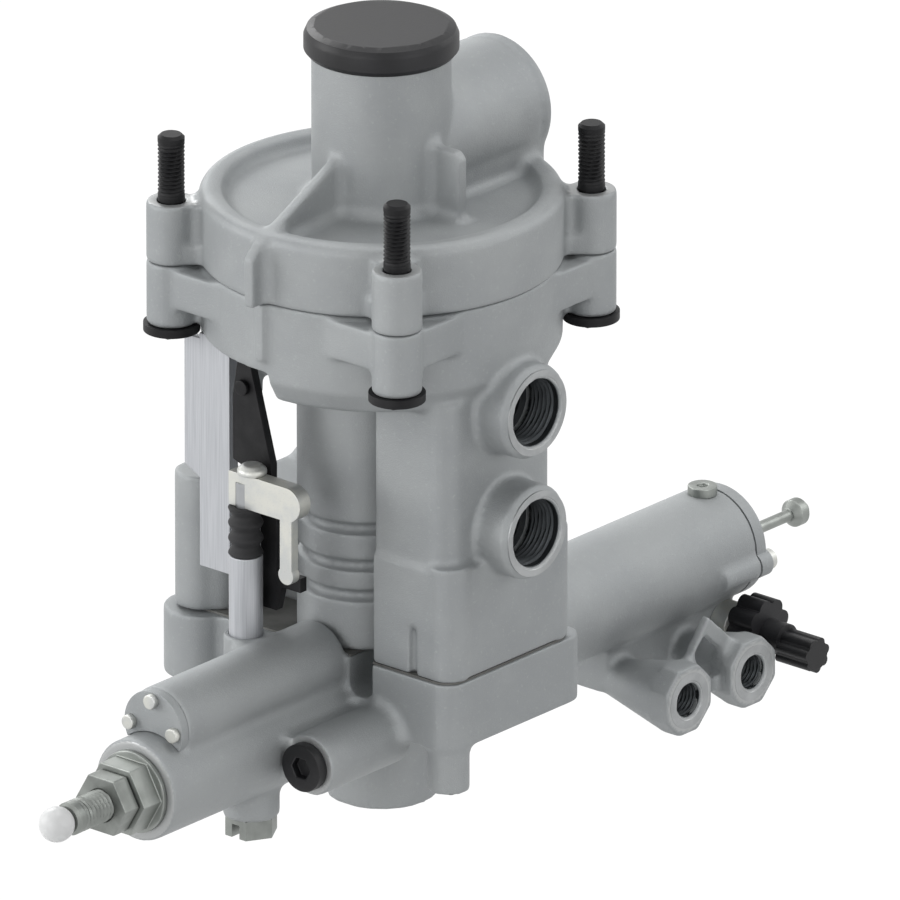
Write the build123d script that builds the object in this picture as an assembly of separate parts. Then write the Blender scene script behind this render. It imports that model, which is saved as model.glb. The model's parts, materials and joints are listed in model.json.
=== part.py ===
# Air brake load sensing relay valve, in millimetres.
# Frame: the main axis is Z, with Z = 0 on the face of the bottom exhaust boss.
# The port faces look along +X, and the control cylinder lies along Y.
from build123d import *
import math
import os

os.makedirs("parts", exist_ok=True)

# Driving dimensions of the head: stud square, upper body ring, cover, neck and side barrel
EAR_HALF = 43.5
EAR_CLEAR = 8.5
RING_R = EAR_HALF * math.sqrt(2) - EAR_CLEAR
RING_BOTTOM = 137.5
NOTCH_X = 2.0
NOTCH_Y = -35.0
NOTCH_Z = 147.0
JOINT_Z = 169.0
COVER_LIP = 0.5
COVER_R = RING_R + COVER_LIP
COVER_SIDE = 21.5
COVER_RIM = 6.5
COVER_DROP = 4.0
COVER_EDGE_Z = JOINT_Z + COVER_SIDE
ROOF_Z = COVER_EDGE_Z - COVER_DROP
COVER_ROOF = 4.5
CHAMBER_TOP = ROOF_Z - COVER_ROOF
CHAMBER_R = 43.0
CHAMBER_FLOOR = 150.0
NECK_R = 20.5
NECK_BORE_R = 15.0
PILOT_SEAT_RISE = 12.0
PILOT_SEAT_THICK = 4.0
BARREL_R = 20.0
BARREL_RISE = 15.7
BARREL_Z = ROOF_Z + BARREL_RISE
NECK_ABOVE = 13.8
NECK_TOP = BARREL_Z + BARREL_R + NECK_ABOVE
BARREL_END = 54.5
PEDESTAL_HALF = 18.5
PEDESTAL_END = 52.0
CAP_WALL = 2.3
CAP_R = NECK_R + CAP_WALL
CAP_LAP = 4.0
CAP_ROOF = 4.5
CAP_SKIRT_Z = NECK_TOP - CAP_LAP
CAP_TOP = NECK_TOP + CAP_ROOF
FIN_THICK = 3.6
FIN_REACH = 6.5
FIN_OUT = RING_R + FIN_REACH
RIB_OUT = FIN_OUT - 0.7 * FIN_REACH
FIN_NECK_Z = ROOF_Z + 20.0
FIN_EDGE_Z = COVER_EDGE_Z - 3.0
SIDE_FIN_X = NECK_R + 11.0
SIDE_FIN_Z = ROOF_Z + 21.5

# Mounting ears and their M8 studs
EAR_R = 7.4
EAR_BELOW = 19.5
EAR_ABOVE = 18.5
EAR_BOTTOM = JOINT_Z - EAR_BELOW
EAR_TOP = JOINT_Z + EAR_ABOVE
STUD_R = 4.0
STUD_WAIST_R = 3.6
STUD_FREE = 20.5
STUD_TOP = EAR_TOP + STUD_FREE
NUT_HEIGHT = 3.6
NUT_WASHER = 2.6
NUT_WASHER_R = 8.4
NUT_FLATS = 11.0
STUD_LOW = EAR_BOTTOM - NUT_HEIGHT - 1.0
PLATE_HALF = 49.0
PLATE_LOW = 156.0
PLATE_HIGH = 168.0
COVER_LUG = 7.0

# Column under the ring
COLUMN_R = 20.0
COLUMN_Y = -7.5
GROOVES_Z = (92.0, 80.5, 71.0)
GROOVE_DEPTH = 2.4
GROOVE_WIDTH = 3.4
WALL_X0 = 20.5
WALL_X1 = 48.0
WALL_Y = 27.0
WALL_Y_FAR = 23.0
SHOE_TOP = 88.0
SHOE_X = 50.4
SHOE_Y = 28.0
SHOE_CORNER = 6.8
SLIT_X = 36.0
SLIT_WIDE = 2.6
SLIT_TOP = 69.0
SHOE_BACK_Y = -6.0
CORNER_X = 44.5
CORNER_Y = 21.7
CORNER_R = 6.6
TOWER_X = -49.0
TOWER_Y = -24.0
TOWER_R = 8.0
TOWER_TOP = 96.0

# Ports
PORT_X = 60.0
PORT_UPPER_Z = 134.0
PORT_LOWER_Z = 96.2
PORT_R = 14.4
PORT_TAP_R = 10.25
PORT_DEPTH = 14.0
PORT_PASSAGE_R = 7.0
PILOT_TAP_R = 7.25
PILOT_DEPTH = 15.0
PILOT_PASSAGE_R = 4.5

# Valve works on the main axis
VALVE_BORE_R = 13.0
SUPPLY_FLOOR = 84.0
SEAT_LOW = 110.0
SEAT_THICK = 6.0
SEAT_HIGH = SEAT_LOW + SEAT_THICK
SEAT_R = 8.0
VALVE_R = 10.5
VALVE_THICK = 5.0
STEM_R = 5.0
STEM_BORE_R = 3.0
STEM_LOW = 70.0
PISTON_R = 40.0
PISTON_LOW = 159.0
PISTON_HIGH = 166.6
PISTON_STEM_R = 5.5
RUN = 0.05
GAP = 0.3
MEMBRANE_R = 47.5
MEMBRANE_HOLE_R = 28.0
MEMBRANE_THICK = 1.2
TAPPET_R = 3.0
TAPPET_Y = -20.2
TAPPET_TOP = 149.0

# Base housing under the column
BASE_TOP = 53.4
BAND_LOW = 32.6
BAND_X = 51.0
BAND_Y = 28.6
BAND_Y_FAR = 33.0
GASKET = 0.6
RECESS_X = 12.0
RECESS_Y = -12.0
RECESS_FLOOR = 42.0
FOOT_Z = 18.6
HEAD_DEEP = 6.0
SCREW_LONG = 14.0
BOSS_R = 16.5
EXHAUST_R = 11.0
EXHAUST_DEPTH = 7.5
SCREEN_R = 8.0
SCREEN_THICK = 1.5
SCREEN_ROOM = 2.2

# Control unit along Y: lower lobe, upper lobe, side gallery
AXIS_Z = 33.2
LOBE_R = 15.5
LOBE_BORE_R = 11.0
LOBE_END = -110.0
UPPER_Z = 50.5
UPPER_R = 11.5
UPPER_BORE_R = 5.5
UPPER_BORE_Z = 51.5
UPPER_END = -99.0
UPPER_BORE_END = -36.0
FILTER_WALL = 2.4
UPPER_PLATE = 3.0
GALLERY_X = 23.4
GALLERY_Z = 32.0
GALLERY_R = 9.4
GALLERY_END = -60.0
GALLERY_BORE_R = 4.0
SIDE_PLUG_R = 7.3
DRAIN_Y = -58.6
DRAIN_R = 8.4
DRAIN_FACE = 10.5
DRAIN_PLUG_LOW = 4.5
DRAIN_FLATS = 14.0

# Adjuster at the left end
BUSH_FLATS = 20.0
BUSH_HEX_END = -119.0
SCREW_R = 5.0
SCREW_END = -140.0
LOCK_FLATS = 17.0
LOCK_THICK = 6.0
BUSH_NOSE = 6.0
SPRING_SEAT_R = 9.5
SPRING_SEAT_GAP = 0.4
SPRING_SEAT_THICK = 3.0
BALL_R = 5.3
BALL_Y = -144.6

# Control cylinder at the right end
CYL_R = 17.2
CYL_FRONT = 33.0
CYL_FLANGE_R = 20.0
CYL_FLANGE_END = 38.0
CYL_NECK_R = 15.0
CYL_NECK_LONG = 2.2
CYL_BORE_R = 13.0
CYL_WALL_END = 46.0
CYL_END = 150.5
CAP_PLATE = 6.0
CAP_PLATE_END = CYL_END + CAP_PLATE
ROD_R = 5.0
ROD_END = -72.0
CONE_START = -16.5
CONE_RISE = 0.4
CONE_LONG = 12.5
CONTROL_PISTON_Y = 96.0
CONTROL_PISTON_LONG = 10.0
PISTON_ROOM = 15.0
GUIDE_Y = CONTROL_PISTON_Y + CONTROL_PISTON_LONG + PISTON_ROOM
GUIDE_LONG = 4.0
PIN_PAST = 3.0
PIN_R = 1.8
PIN_DROP = 2.0
PIN_Z = AXIS_Z - PIN_DROP
KNOB_R = 4.2
KNOB_Y = 185.0
KNOB_LONG = 7.5
KNOB_END = KNOB_Y + KNOB_LONG

# Small ports under the control cylinder
BLOCK_Z0 = 3.5
BLOCK_Z1 = 21.0
BLOCK_Y0 = 93.0
BLOCK_Y1 = 152.0
BLOCK_HALF = 8.0
SMALL_PORT_X = 35.0
SMALL_PORT_YS = (98.5, 127.9)
SMALL_PORT_Z = 7.2
SMALL_PORT_R = 10.4
SMALL_PIPE_R = 5.2
SMALL_TAP_R = 5.25
SMALL_DEPTH = 12.0
WEB_FACE_X = 30.0
WEB_THICK = 3.0
TEST_Y = 146.0
TEST_Z = 11.0
TEST_FLANGE = 6.0
TEST_CAP_R = 9.2
TEST_CAP_LONG = 9.0
TEST_TAIL_R = 5.5
TEST_TAIL_LONG = 12.5
TEST_TAIL_X = 29.0
LUG_ANGLES = (-14, 194)
BLEED_Y = 145.5
BLEED_R = 4.4
BLEED_HEAD = 2.4

# Outside linkage under the left ear
RAIL_X0 = -36.0
RAIL_X1 = -24.3
RAIL_WIDE_X0 = -43.0
RAIL_Y = -38.0
RAIL_THICK = 4.0
RAIL_SET_BACK = 1.3
RAIL_LOW = 73.5
RAIL_STEP = 103.8
BLADE_Y = -40.6
BLADE_THICK = 2.8
BLADE_PIN_X = -17.0
BLADE_PIN_Z = 135.0
BLADE_PIN_R = 1.6
LUG_HALF = 3.0
LUG_THICK = 2.6
LUG_FRONT_Y = BLADE_Y + BLADE_THICK / 2 + 0.3
BLADE_EYE = 9.3
BLADE_NECK = 22.0
BLADE_STEP = 37.0
BLADE_HOOK = 54.8
BLADE_FOOT = 67.0
BRACKET_Y0 = -50.0
BRACKET_Y1 = -45.0
BRACKET_X0 = -16.0
BRACKET_X1 = 6.3
BRACKET_LEG_WIDE = 4.5
BRACKET_LEG_LOW = 84.0
BRACKET_LOW = 101.0
BRACKET_HIGH = 111.5
PLUNGER_X = -11.5
PLUNGER_Y = -47.5
PLUNGER_R = 3.0
BUSH_TOP = 85.7
BUSH_LOW = 56.0
BOOT_R = 5.2


def block(x0, x1, y0, y1, z0, z1):
    """A box between two corners."""
    middle = Pos((x0 + x1) / 2, (y0 + y1) / 2, (z0 + z1) / 2)
    return middle * Box(x1 - x0, y1 - y0, z1 - z0)


def rod_z(r, z0, z1, x=0.0, y=0.0):
    """An upright cylinder."""
    return Pos(x, y, (z0 + z1) / 2) * Cylinder(r, z1 - z0)


def rod_y(r, y0, y1, x=0.0, z=0.0):
    """A cylinder along Y."""
    return Pos(x, (y0 + y1) / 2, z) * Rot(90, 0, 0) * Cylinder(r, y1 - y0)


def rod_x(r, x0, x1, y=0.0, z=0.0):
    """A cylinder along X."""
    return Pos((x0 + x1) / 2, y, z) * Rot(0, 90, 0) * Cylinder(r, x1 - x0)


def turned(points):
    """Turns a closed outline of (radius, height) points about Z."""
    return revolve(make_face(Plane.XZ * Polyline(*points, close=True)), Axis.Z)


def turned_y(points, x=0.0, z=0.0):
    """Turns a closed outline of (radius, Y) points about an axis along Y."""
    return Pos(x, 0, z) * Rot(-90, 0, 0) * turned(points)


def turned_x(points, y=0.0, z=0.0):
    """Turns a closed outline of (radius, X) points about an axis along X."""
    return Pos(0, y, z) * Rot(0, 90, 0) * turned(points)


def rounded_slab(half_x, half_y, z0, z1, radius):
    """A slab with rounded upright corners."""
    return Pos(0, 0, z0) * extrude(RectangleRounded(2 * half_x, 2 * half_y, radius), z1 - z0)


def hexagon_z(flats, z0, z1, x=0.0, y=0.0):
    """An upright hexagonal prism, given across its flats."""
    return Pos(x, y, z0) * extrude(RegularPolygon(flats / math.sqrt(3), 6), z1 - z0)


def hexagon_y(flats, y0, y1, x=0.0, z=0.0):
    """A hexagonal prism along Y."""
    return Pos(x, y1, z) * Rot(90, 0, 0) * extrude(RegularPolygon(flats / math.sqrt(3), 6), y1 - y0)


def plate_xz(points, y0, y1):
    """A flat plate with an outline of (X, Z) points, between two Y planes."""
    face = make_face(Plane.XZ * Polyline(*points, close=True))
    return Pos(0, y0, 0) * extrude(face, y1 - y0, dir=(0, 1, 0))


def plate_yz(points, half):
    """A flat plate with an outline of (Y, Z) points, centred on X = 0."""
    face = make_face(Plane.YZ * Polyline(*points, close=True))
    return Pos(-half, 0, 0) * extrude(face, 2 * half, dir=(1, 0, 0))


def outline_yz(points, x0, x1):
    """A prism along X with an outline of (Y, Z) points."""
    face = make_face(Plane.YZ * Polyline(*points, close=True))
    return Pos(x0, 0, 0) * extrude(face, x1 - x0, dir=(1, 0, 0))


def octagon_x(half_flats, x0, x1, y=0.0, z=0.0):
    """An octagonal prism along X, given by half its width."""
    points = []
    for k in range(8):
        a = math.radians(45 * k + 22.5)
        reach = half_flats / math.cos(math.radians(22.5))
        points.append((y + reach * math.cos(a), z + reach * math.sin(a)))
    return outline_yz(points, x0, x1)


def coil(radius, wire, length, turns):
    """A compression spring standing on Z = 0, its wire inside the length."""
    pitch = (length - 2 * wire) / turns
    path = Pos(0, 0, wire) * Helix(pitch, length - 2 * wire, radius)
    profile = Plane(origin=path @ 0, z_dir=path % 0) * Circle(wire)
    return sweep(profile, path=path)


def save(name, shape):
    """Writes one node."""
    export_step(shape, "parts/" + name + ".step")


def ear_centres():
    """The four stud axes."""
    return [(sx * EAR_HALF, sy * EAR_HALF) for sx in (-1, 1) for sy in (-1, 1)]


def corner_centres():
    """The screw axes that hold the base housing to the column."""
    return [
        (CORNER_X, CORNER_Y),
        (CORNER_X, -CORNER_Y),
        (-CORNER_X, CORNER_Y),
        (-CORNER_X, -CORNER_Y),
    ]


def screw_face(y):
    """Height of the face that a base screw goes in at: a foot in front, the band behind."""
    return FOOT_Z if y < 0 else BAND_LOW


def lug_centres():
    """The screw axes of the end cap, as X and Z."""
    places = []
    for angle in LUG_ANGLES:
        t = math.radians(angle)
        places.append(((CYL_R - 1.5) * math.cos(t), AXIS_Z + (CYL_R - 1.5) * math.sin(t)))
    return places


def make_main_body():
    """Cast body: ring with ears, column, port bosses and lower shoe."""
    ring = turned([
        (0, RING_BOTTOM), (RING_R - 5, RING_BOTTOM), (RING_R - 3.2, RING_BOTTOM + 1.2),
        (RING_R, RING_BOTTOM + 7), (RING_R, JOINT_Z), (0, JOINT_Z),
    ])
    ring -= block(-RING_R - 1, NOTCH_X, -RING_R - 1, NOTCH_Y, RING_BOTTOM - 1, NOTCH_Z)
    body = ring + rounded_slab(PLATE_HALF, PLATE_HALF, PLATE_LOW, PLATE_HIGH, 6.0)
    for x, y in ear_centres():
        body += rod_z(EAR_R, EAR_BOTTOM, JOINT_Z, x, y)
    body += block(-FIN_THICK / 2, FIN_THICK / 2, -RIB_OUT, -RING_R + 4, NOTCH_Z + 4, JOINT_Z)
    bottom = BASE_TOP + GASKET
    body += rod_z(COLUMN_R, bottom, RING_BOTTOM + 2, 0, COLUMN_Y)
    wall = block(WALL_X0, WALL_X1, -WALL_Y, WALL_Y_FAR, bottom, RING_BOTTOM + 2)
    wall = fillet(wall.edges().filter_by(Axis.Z).group_by(Axis.X)[-1], 7.0)
    body += wall
    back = block(-COLUMN_R, WALL_X1 - 6, COLUMN_Y, WALL_Y_FAR, bottom, RING_BOTTOM + 2)
    back = fillet(back.edges().filter_by(Axis.Z), 5.0)
    body += back
    shoe = block(WALL_X0, SHOE_X, -SHOE_Y, SHOE_Y, bottom, SHOE_TOP)
    shoe = fillet(shoe.edges().filter_by(Axis.Z).group_by(Axis.X)[-1], SHOE_CORNER)
    shoe += block(-SHOE_X, WALL_X0 + 1, SHOE_BACK_Y, SHOE_Y, bottom, SHOE_TOP)
    shoe += block(-SHOE_X, -SHOE_X + 9, -SHOE_Y, SHOE_Y, bottom, SHOE_TOP)
    body += shoe
    for x, y in corner_centres():
        body += rod_z(CORNER_R, bottom, SHOE_TOP + 1.5, x, y)
    body += rod_z(TOWER_R, bottom, TOWER_TOP, TOWER_X, TOWER_Y)
    for z in (PORT_UPPER_Z, PORT_LOWER_Z):
        body += rod_x(PORT_R, WALL_X1 - 12, PORT_X - 1.5, 0, z)
        body += rod_x(PORT_R - 1.2, PORT_X - 1.5, PORT_X, 0, z)
    lug_far = LUG_FRONT_Y + LUG_THICK
    body += block(
        BLADE_PIN_X - LUG_HALF, BLADE_PIN_X + LUG_HALF, LUG_FRONT_Y, lug_far,
        BLADE_PIN_Z - LUG_HALF, NOTCH_Z + 1,
    )
    body -= rod_y(BLADE_PIN_R + 0.02, LUG_FRONT_Y - 1, lug_far + 1, BLADE_PIN_X, BLADE_PIN_Z)
    slit_x = SLIT_X - SLIT_WIDE / 2
    body -= block(slit_x, slit_x + SLIT_WIDE, -SHOE_Y - 1, -SHOE_Y + 2.4, bottom - 1, SLIT_TOP)
    groove_tool = None
    for z in GROOVES_Z:
        low = z - GROOVE_WIDTH / 2
        outer = rod_z(COLUMN_R + 0.5, low, low + GROOVE_WIDTH, 0, COLUMN_Y)
        inner = rod_z(COLUMN_R - GROOVE_DEPTH, low - 1, low + GROOVE_WIDTH + 1, 0, COLUMN_Y)
        ring_cut = outer - inner
        ring_cut = ring_cut - block(-40, 40, COLUMN_Y, 40, low - 1, low + GROOVE_WIDTH + 1)
        groove_tool = ring_cut if groove_tool is None else groove_tool + ring_cut
    body -= groove_tool
    body -= rod_z(CHAMBER_R, CHAMBER_FLOOR, JOINT_Z + 1)
    body -= rod_z(MEMBRANE_R + 0.2, JOINT_Z - MEMBRANE_THICK, JOINT_Z + 1)
    body -= rod_z(VALVE_BORE_R, SEAT_HIGH, CHAMBER_FLOOR + 1)
    body -= rod_z(SEAT_R, SEAT_LOW - 1, SEAT_HIGH + 1)
    body -= rod_z(VALVE_BORE_R, SUPPLY_FLOOR, SEAT_LOW)
    body -= rod_z(STEM_R + RUN, bottom - 1, SUPPLY_FLOOR + 1)
    body -= rod_z(TAPPET_R + RUN, bottom - 1, CHAMBER_FLOOR + 1, 0, TAPPET_Y)
    for z in (PORT_UPPER_Z, PORT_LOWER_Z):
        body -= rod_x(PORT_TAP_R, PORT_X - PORT_DEPTH, PORT_X + 1, 0, z)
        body -= rod_x(PORT_PASSAGE_R, 5, PORT_X - PORT_DEPTH + 1, 0, z)
    for x, y in ear_centres():
        body -= rod_z(STUD_R + 0.2, EAR_BOTTOM - 1, JOINT_Z + 1, x, y)
    for x, y in corner_centres():
        body -= rod_z(2.5, bottom - 1, bottom + 16, x, y)
    return body


def make_top_cover():
    """Cast cover: rim round a sunken roof, neck, side barrel and stiffening fins."""
    outline = [
        (0, JOINT_Z), (COVER_R, JOINT_Z), (COVER_R, COVER_EDGE_Z - 2.5),
        (COVER_R - 1, COVER_EDGE_Z - 0.8), (COVER_R - 2.8, COVER_EDGE_Z),
        (COVER_R - COVER_RIM, COVER_EDGE_Z - 0.4), (COVER_R - COVER_RIM - 2.5, ROOF_Z),
        (NECK_R + 2.5, ROOF_Z + 0.6), (NECK_R, ROOF_Z + 3), (NECK_R, NECK_TOP), (0, NECK_TOP),
    ]
    cover = turned(outline)
    barrel = rod_y(BARREL_R, 0, BARREL_END - 6, 0, BARREL_Z)
    barrel += rod_y(BARREL_R - 0.9, BARREL_END - 7, BARREL_END - 3, 0, BARREL_Z)
    barrel += turned_y([
        (0, BARREL_END - 4), (BARREL_R, BARREL_END - 4), (BARREL_R, BARREL_END - 1.5),
        (BARREL_R - 1.5, BARREL_END), (0, BARREL_END),
    ], 0, BARREL_Z)
    cover += barrel
    cover += block(-PEDESTAL_HALF, PEDESTAL_HALF, 0, PEDESTAL_END, ROOF_Z - 1, BARREL_Z)
    cover += plate_xz([
        (NECK_R - 4, ROOF_Z - 1), (SIDE_FIN_X, ROOF_Z - 1), (SIDE_FIN_X, SIDE_FIN_Z - 2),
        (SIDE_FIN_X - 2, SIDE_FIN_Z), (NECK_R - 4, SIDE_FIN_Z),
    ], -FIN_THICK / 2, FIN_THICK / 2)
    cover += plate_yz([
        (-NECK_R + 4, FIN_NECK_Z), (-FIN_OUT + 3.5, FIN_EDGE_Z), (-FIN_OUT, FIN_EDGE_Z - 3.5),
        (-FIN_OUT, JOINT_Z), (-COVER_R + 4, JOINT_Z), (-COVER_R + 4, ROOF_Z - 2),
        (-NECK_R + 4, ROOF_Z - 2),
    ], FIN_THICK / 2)
    for x, y in ear_centres():
        cover += rod_z(EAR_R, JOINT_Z, EAR_TOP, x, y)
        reach = math.hypot(x, y)
        turn = math.degrees(math.atan2(y, x))
        lug = block(COVER_R - 8, reach, -COVER_LUG, COVER_LUG, JOINT_Z, JOINT_Z + 6)
        cover += Rot(0, 0, turn) * lug
    cover -= rod_z(CHAMBER_R, JOINT_Z - 1, CHAMBER_TOP)
    cover -= rod_z(NECK_BORE_R, CHAMBER_TOP - 1, NECK_TOP + 1)
    cover -= rod_y(PILOT_TAP_R, BARREL_END - PILOT_DEPTH, BARREL_END + 1, 0, BARREL_Z)
    cover -= rod_y(PILOT_PASSAGE_R, 5, BARREL_END - PILOT_DEPTH + 1, 0, BARREL_Z)
    for x, y in ear_centres():
        cover -= rod_z(STUD_R + 0.2, JOINT_Z - 1, EAR_TOP + 1, x, y)
    return cover


def make_cap():
    """Moulded dust cap over the neck."""
    cap = turned([
        (0, NECK_TOP), (NECK_R + 0.1, NECK_TOP), (NECK_R + 0.1, CAP_SKIRT_Z + 0.8),
        (NECK_R + 0.9, CAP_SKIRT_Z), (CAP_R - 1.2, CAP_SKIRT_Z), (CAP_R, CAP_SKIRT_Z + 1.5),
        (CAP_R, CAP_TOP - 3), (CAP_R - 0.9, CAP_TOP - 0.9), (CAP_R - 3, CAP_TOP), (0, CAP_TOP),
    ])
    return cap


def make_neck_spring():
    """Pilot spring inside the neck."""
    low = COVER_EDGE_Z + PILOT_SEAT_RISE + PILOT_SEAT_THICK
    return Pos(0, 0, low) * coil(10.0, 1.1, NECK_TOP - low, 6)


def make_neck_seat():
    """Turned spring seat, resting on the ledge of the neck."""
    low = CHAMBER_TOP
    high = COVER_EDGE_Z + PILOT_SEAT_RISE
    seat = rod_z(NECK_BORE_R - 0.1, high, high + PILOT_SEAT_THICK)
    return seat + rod_z(5.0, low, high)


def make_studs():
    """Four stud bolts through the ears."""
    group = None
    for x, y in ear_centres():
        stud = Pos(x, y, 0) * turned([
            (0, STUD_LOW), (STUD_WAIST_R - 0.8, STUD_LOW), (STUD_WAIST_R, STUD_LOW + 0.8),
            (STUD_WAIST_R, EAR_TOP), (STUD_R, EAR_TOP),
            (STUD_R, STUD_TOP - 1), (STUD_R - 1, STUD_TOP), (0, STUD_TOP),
        ])
        group = stud if group is None else group + stud
    return group


def make_stud_nuts():
    """Four thin nuts under the ears, each with a washer face."""
    group = None
    for x, y in ear_centres():
        nut = hexagon_z(NUT_FLATS, EAR_BOTTOM - NUT_HEIGHT, EAR_BOTTOM - NUT_WASHER + 0.5, x, y)
        nut += rod_z(NUT_WASHER_R, EAR_BOTTOM - NUT_WASHER, EAR_BOTTOM, x, y)
        nut -= rod_z(STUD_WAIST_R + 0.02, EAR_BOTTOM - NUT_HEIGHT - 1, EAR_BOTTOM + 1, x, y)
        group = nut if group is None else group + nut
    return group


def make_membrane():
    """Rubber diaphragm clamped between body and cover."""
    disc = rod_z(MEMBRANE_R, JOINT_Z - MEMBRANE_THICK, JOINT_Z)
    return disc - rod_z(MEMBRANE_HOLE_R, JOINT_Z - MEMBRANE_THICK - 1, JOINT_Z + 1)


def make_relay_piston():
    """Relay piston: a ribbed disc with a stem down to the inlet valve."""
    piston = rod_z(PISTON_R, PISTON_HIGH - 3, PISTON_HIGH)
    piston += rod_z(MEMBRANE_HOLE_R - GAP, PISTON_HIGH - 3, JOINT_Z + 2)
    piston += rod_z(12.0, PISTON_LOW, PISTON_HIGH)
    for k in range(12):
        rib = block(8, PISTON_R - 2, -0.9, 0.9, PISTON_LOW, PISTON_HIGH - 2)
        piston += Rot(0, 0, 30 * k + 15) * rib
    piston += rod_z(PISTON_STEM_R, SEAT_LOW + GAP, PISTON_LOW + 1)
    return piston


def make_inlet_valve():
    """Inlet valve disc with its hollow exhaust stem."""
    valve = rod_z(VALVE_R, SEAT_LOW - VALVE_THICK, SEAT_LOW)
    valve += rod_z(STEM_R, STEM_LOW, SEAT_LOW - VALVE_THICK + 0.5)
    return valve - rod_z(STEM_BORE_R, STEM_LOW - 1, SEAT_LOW - 1.5)


def make_valve_spring():
    """Spring that shuts the inlet valve."""
    return Pos(0, 0, SUPPLY_FLOOR) * coil(7.6, 0.9, SEAT_LOW - VALVE_THICK - SUPPLY_FLOOR, 5)


def make_tappet():
    """Tappet between the control cam and the relay piston's chamber."""
    foot = AXIS_Z + ROD_R + GAP
    return rod_z(TAPPET_R, foot, TAPPET_TOP, 0, TAPPET_Y)


def make_gasket():
    """Paper gasket between column and base housing."""
    sheet = rounded_slab(BAND_X - 0.8, BAND_Y - 0.8, BASE_TOP, BASE_TOP + GASKET, 6.0)
    sheet -= block(-SHOE_X + 9, WALL_X0, -BAND_Y - 1, -27.7, BASE_TOP - 1, BASE_TOP + 2)
    sheet -= block(RECESS_X, WALL_X0, -BAND_Y - 1, RECESS_Y, BASE_TOP - 1, BASE_TOP + 2)
    sheet -= rod_z(STEM_R + 1, BASE_TOP - 1, BASE_TOP + 2)
    sheet -= rod_z(TAPPET_R + 1, BASE_TOP - 1, BASE_TOP + 2, 0, TAPPET_Y)
    for x, y in corner_centres():
        sheet -= rod_z(3.4, BASE_TOP - 1, BASE_TOP + 2, x, y)
    return sheet


def make_base_housing():
    """Cast base: band, feet, bottom boss, both lobes and the side gallery."""
    mid_y = (BAND_Y_FAR - BAND_Y) / 2
    base = Pos(0, mid_y, 0) * rounded_slab(BAND_X, BAND_Y + mid_y, BAND_LOW, BASE_TOP, 6.8)
    for x, y in corner_centres():
        base += rod_z(CORNER_R - 0.4, screw_face(y), BAND_LOW + 1, x, y)
    base += rod_z(BOSS_R, 0, BAND_LOW + 1)
    base += rod_z(TOWER_R + 3.4, BAND_LOW, BASE_TOP, TOWER_X, TOWER_Y)
    base += rod_y(LOBE_R, LOBE_END, BAND_Y_FAR, 0, AXIS_Z)
    base += rod_y(UPPER_R, UPPER_END, -BAND_Y, 0, UPPER_Z)
    web_z = (AXIS_Z + UPPER_Z) / 2
    base += block(-9.5, 9.5, UPPER_END, -BAND_Y, web_z - 3, web_z + 3)
    base += rod_y(GALLERY_R, GALLERY_END, -BAND_Y + 4, GALLERY_X, GALLERY_Z)
    base += block(8, GALLERY_X, -50, -BAND_Y, GALLERY_Z - 4, GALLERY_Z + 4)
    base += rod_z(DRAIN_R, DRAIN_FACE, AXIS_Z - 12, 0, DRAIN_Y)
    rib = plate_yz([(-30, 20), (-30, 26), (-17, 12), (-12, 4), (-12, 20)], 3.0)
    base += Pos(7, 0, 0) * rib
    base += rod_z(6.6, AXIS_Z + 8, BUSH_LOW + 5, PLUNGER_X, PLUNGER_Y)
    base -= rod_z(5.0, BUSH_LOW, BUSH_LOW + 20, PLUNGER_X, PLUNGER_Y)
    base -= block(RECESS_X, WALL_X0, -BAND_Y - 1, RECESS_Y, RECESS_FLOOR, BASE_TOP + 1)
    base -= rod_y(LOBE_BORE_R, LOBE_END - 1, BAND_Y_FAR + 1, 0, AXIS_Z)
    base -= rod_y(UPPER_BORE_R, UPPER_END - 1, UPPER_BORE_END, 0, UPPER_BORE_Z)
    base -= rod_y(GALLERY_BORE_R, GALLERY_END - 1, -30, GALLERY_X, GALLERY_Z)
    base -= rod_y(SIDE_PLUG_R - 1.3, GALLERY_END - 1, GALLERY_END + 4, GALLERY_X, GALLERY_Z)
    base -= rod_z(EXHAUST_R, -1, EXHAUST_DEPTH)
    base -= rod_z(SCREEN_R, EXHAUST_DEPTH - 1, EXHAUST_DEPTH + SCREEN_ROOM)
    base -= rod_z(SCREEN_R - 2, EXHAUST_DEPTH - 1, AXIS_Z)
    base -= rod_z(STEM_R + 0.5, AXIS_Z, BASE_TOP + 1)
    base -= rod_z(TAPPET_R + RUN, AXIS_Z, BASE_TOP + 1, 0, TAPPET_Y)
    base -= rod_z(3.0, DRAIN_FACE - 1, AXIS_Z, 0, DRAIN_Y)
    base -= rod_z(5.0, DRAIN_FACE - 1, DRAIN_FACE + 5, 0, DRAIN_Y)
    for x, y in corner_centres():
        base -= rod_z(3.2, screw_face(y) - 1, BASE_TOP + 1, x, y)
        base -= rod_z(5.0, screw_face(y) - 1, screw_face(y) + HEAD_DEEP, x, y)
    return base


def make_base_screws():
    """Four cap screws up through the feet into the column."""
    group = None
    for x, y in corner_centres():
        face = screw_face(y)
        screw = rod_z(2.5, face + HEAD_DEEP, BASE_TOP + GASKET + SCREW_LONG, x, y)
        head = rod_z(4.6, face + 1, face + HEAD_DEEP, x, y)
        head -= hexagon_z(4.0, face, face + 3.5, x, y)
        screw += head
        group = screw if group is None else group + screw
    return group


def make_exhaust_screen():
    """Pressed screen in the bottom boss, held by a ring."""
    top = EXHAUST_DEPTH + SCREEN_ROOM
    screen = rod_z(SCREEN_R, top - SCREEN_THICK, top)
    for k in range(8):
        a = math.radians(45 * k)
        screen -= rod_z(1.2, 0, top + 1, 4.2 * math.cos(a), 4.2 * math.sin(a))
    return screen - rod_z(1.5, 0, top + 1)


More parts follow.
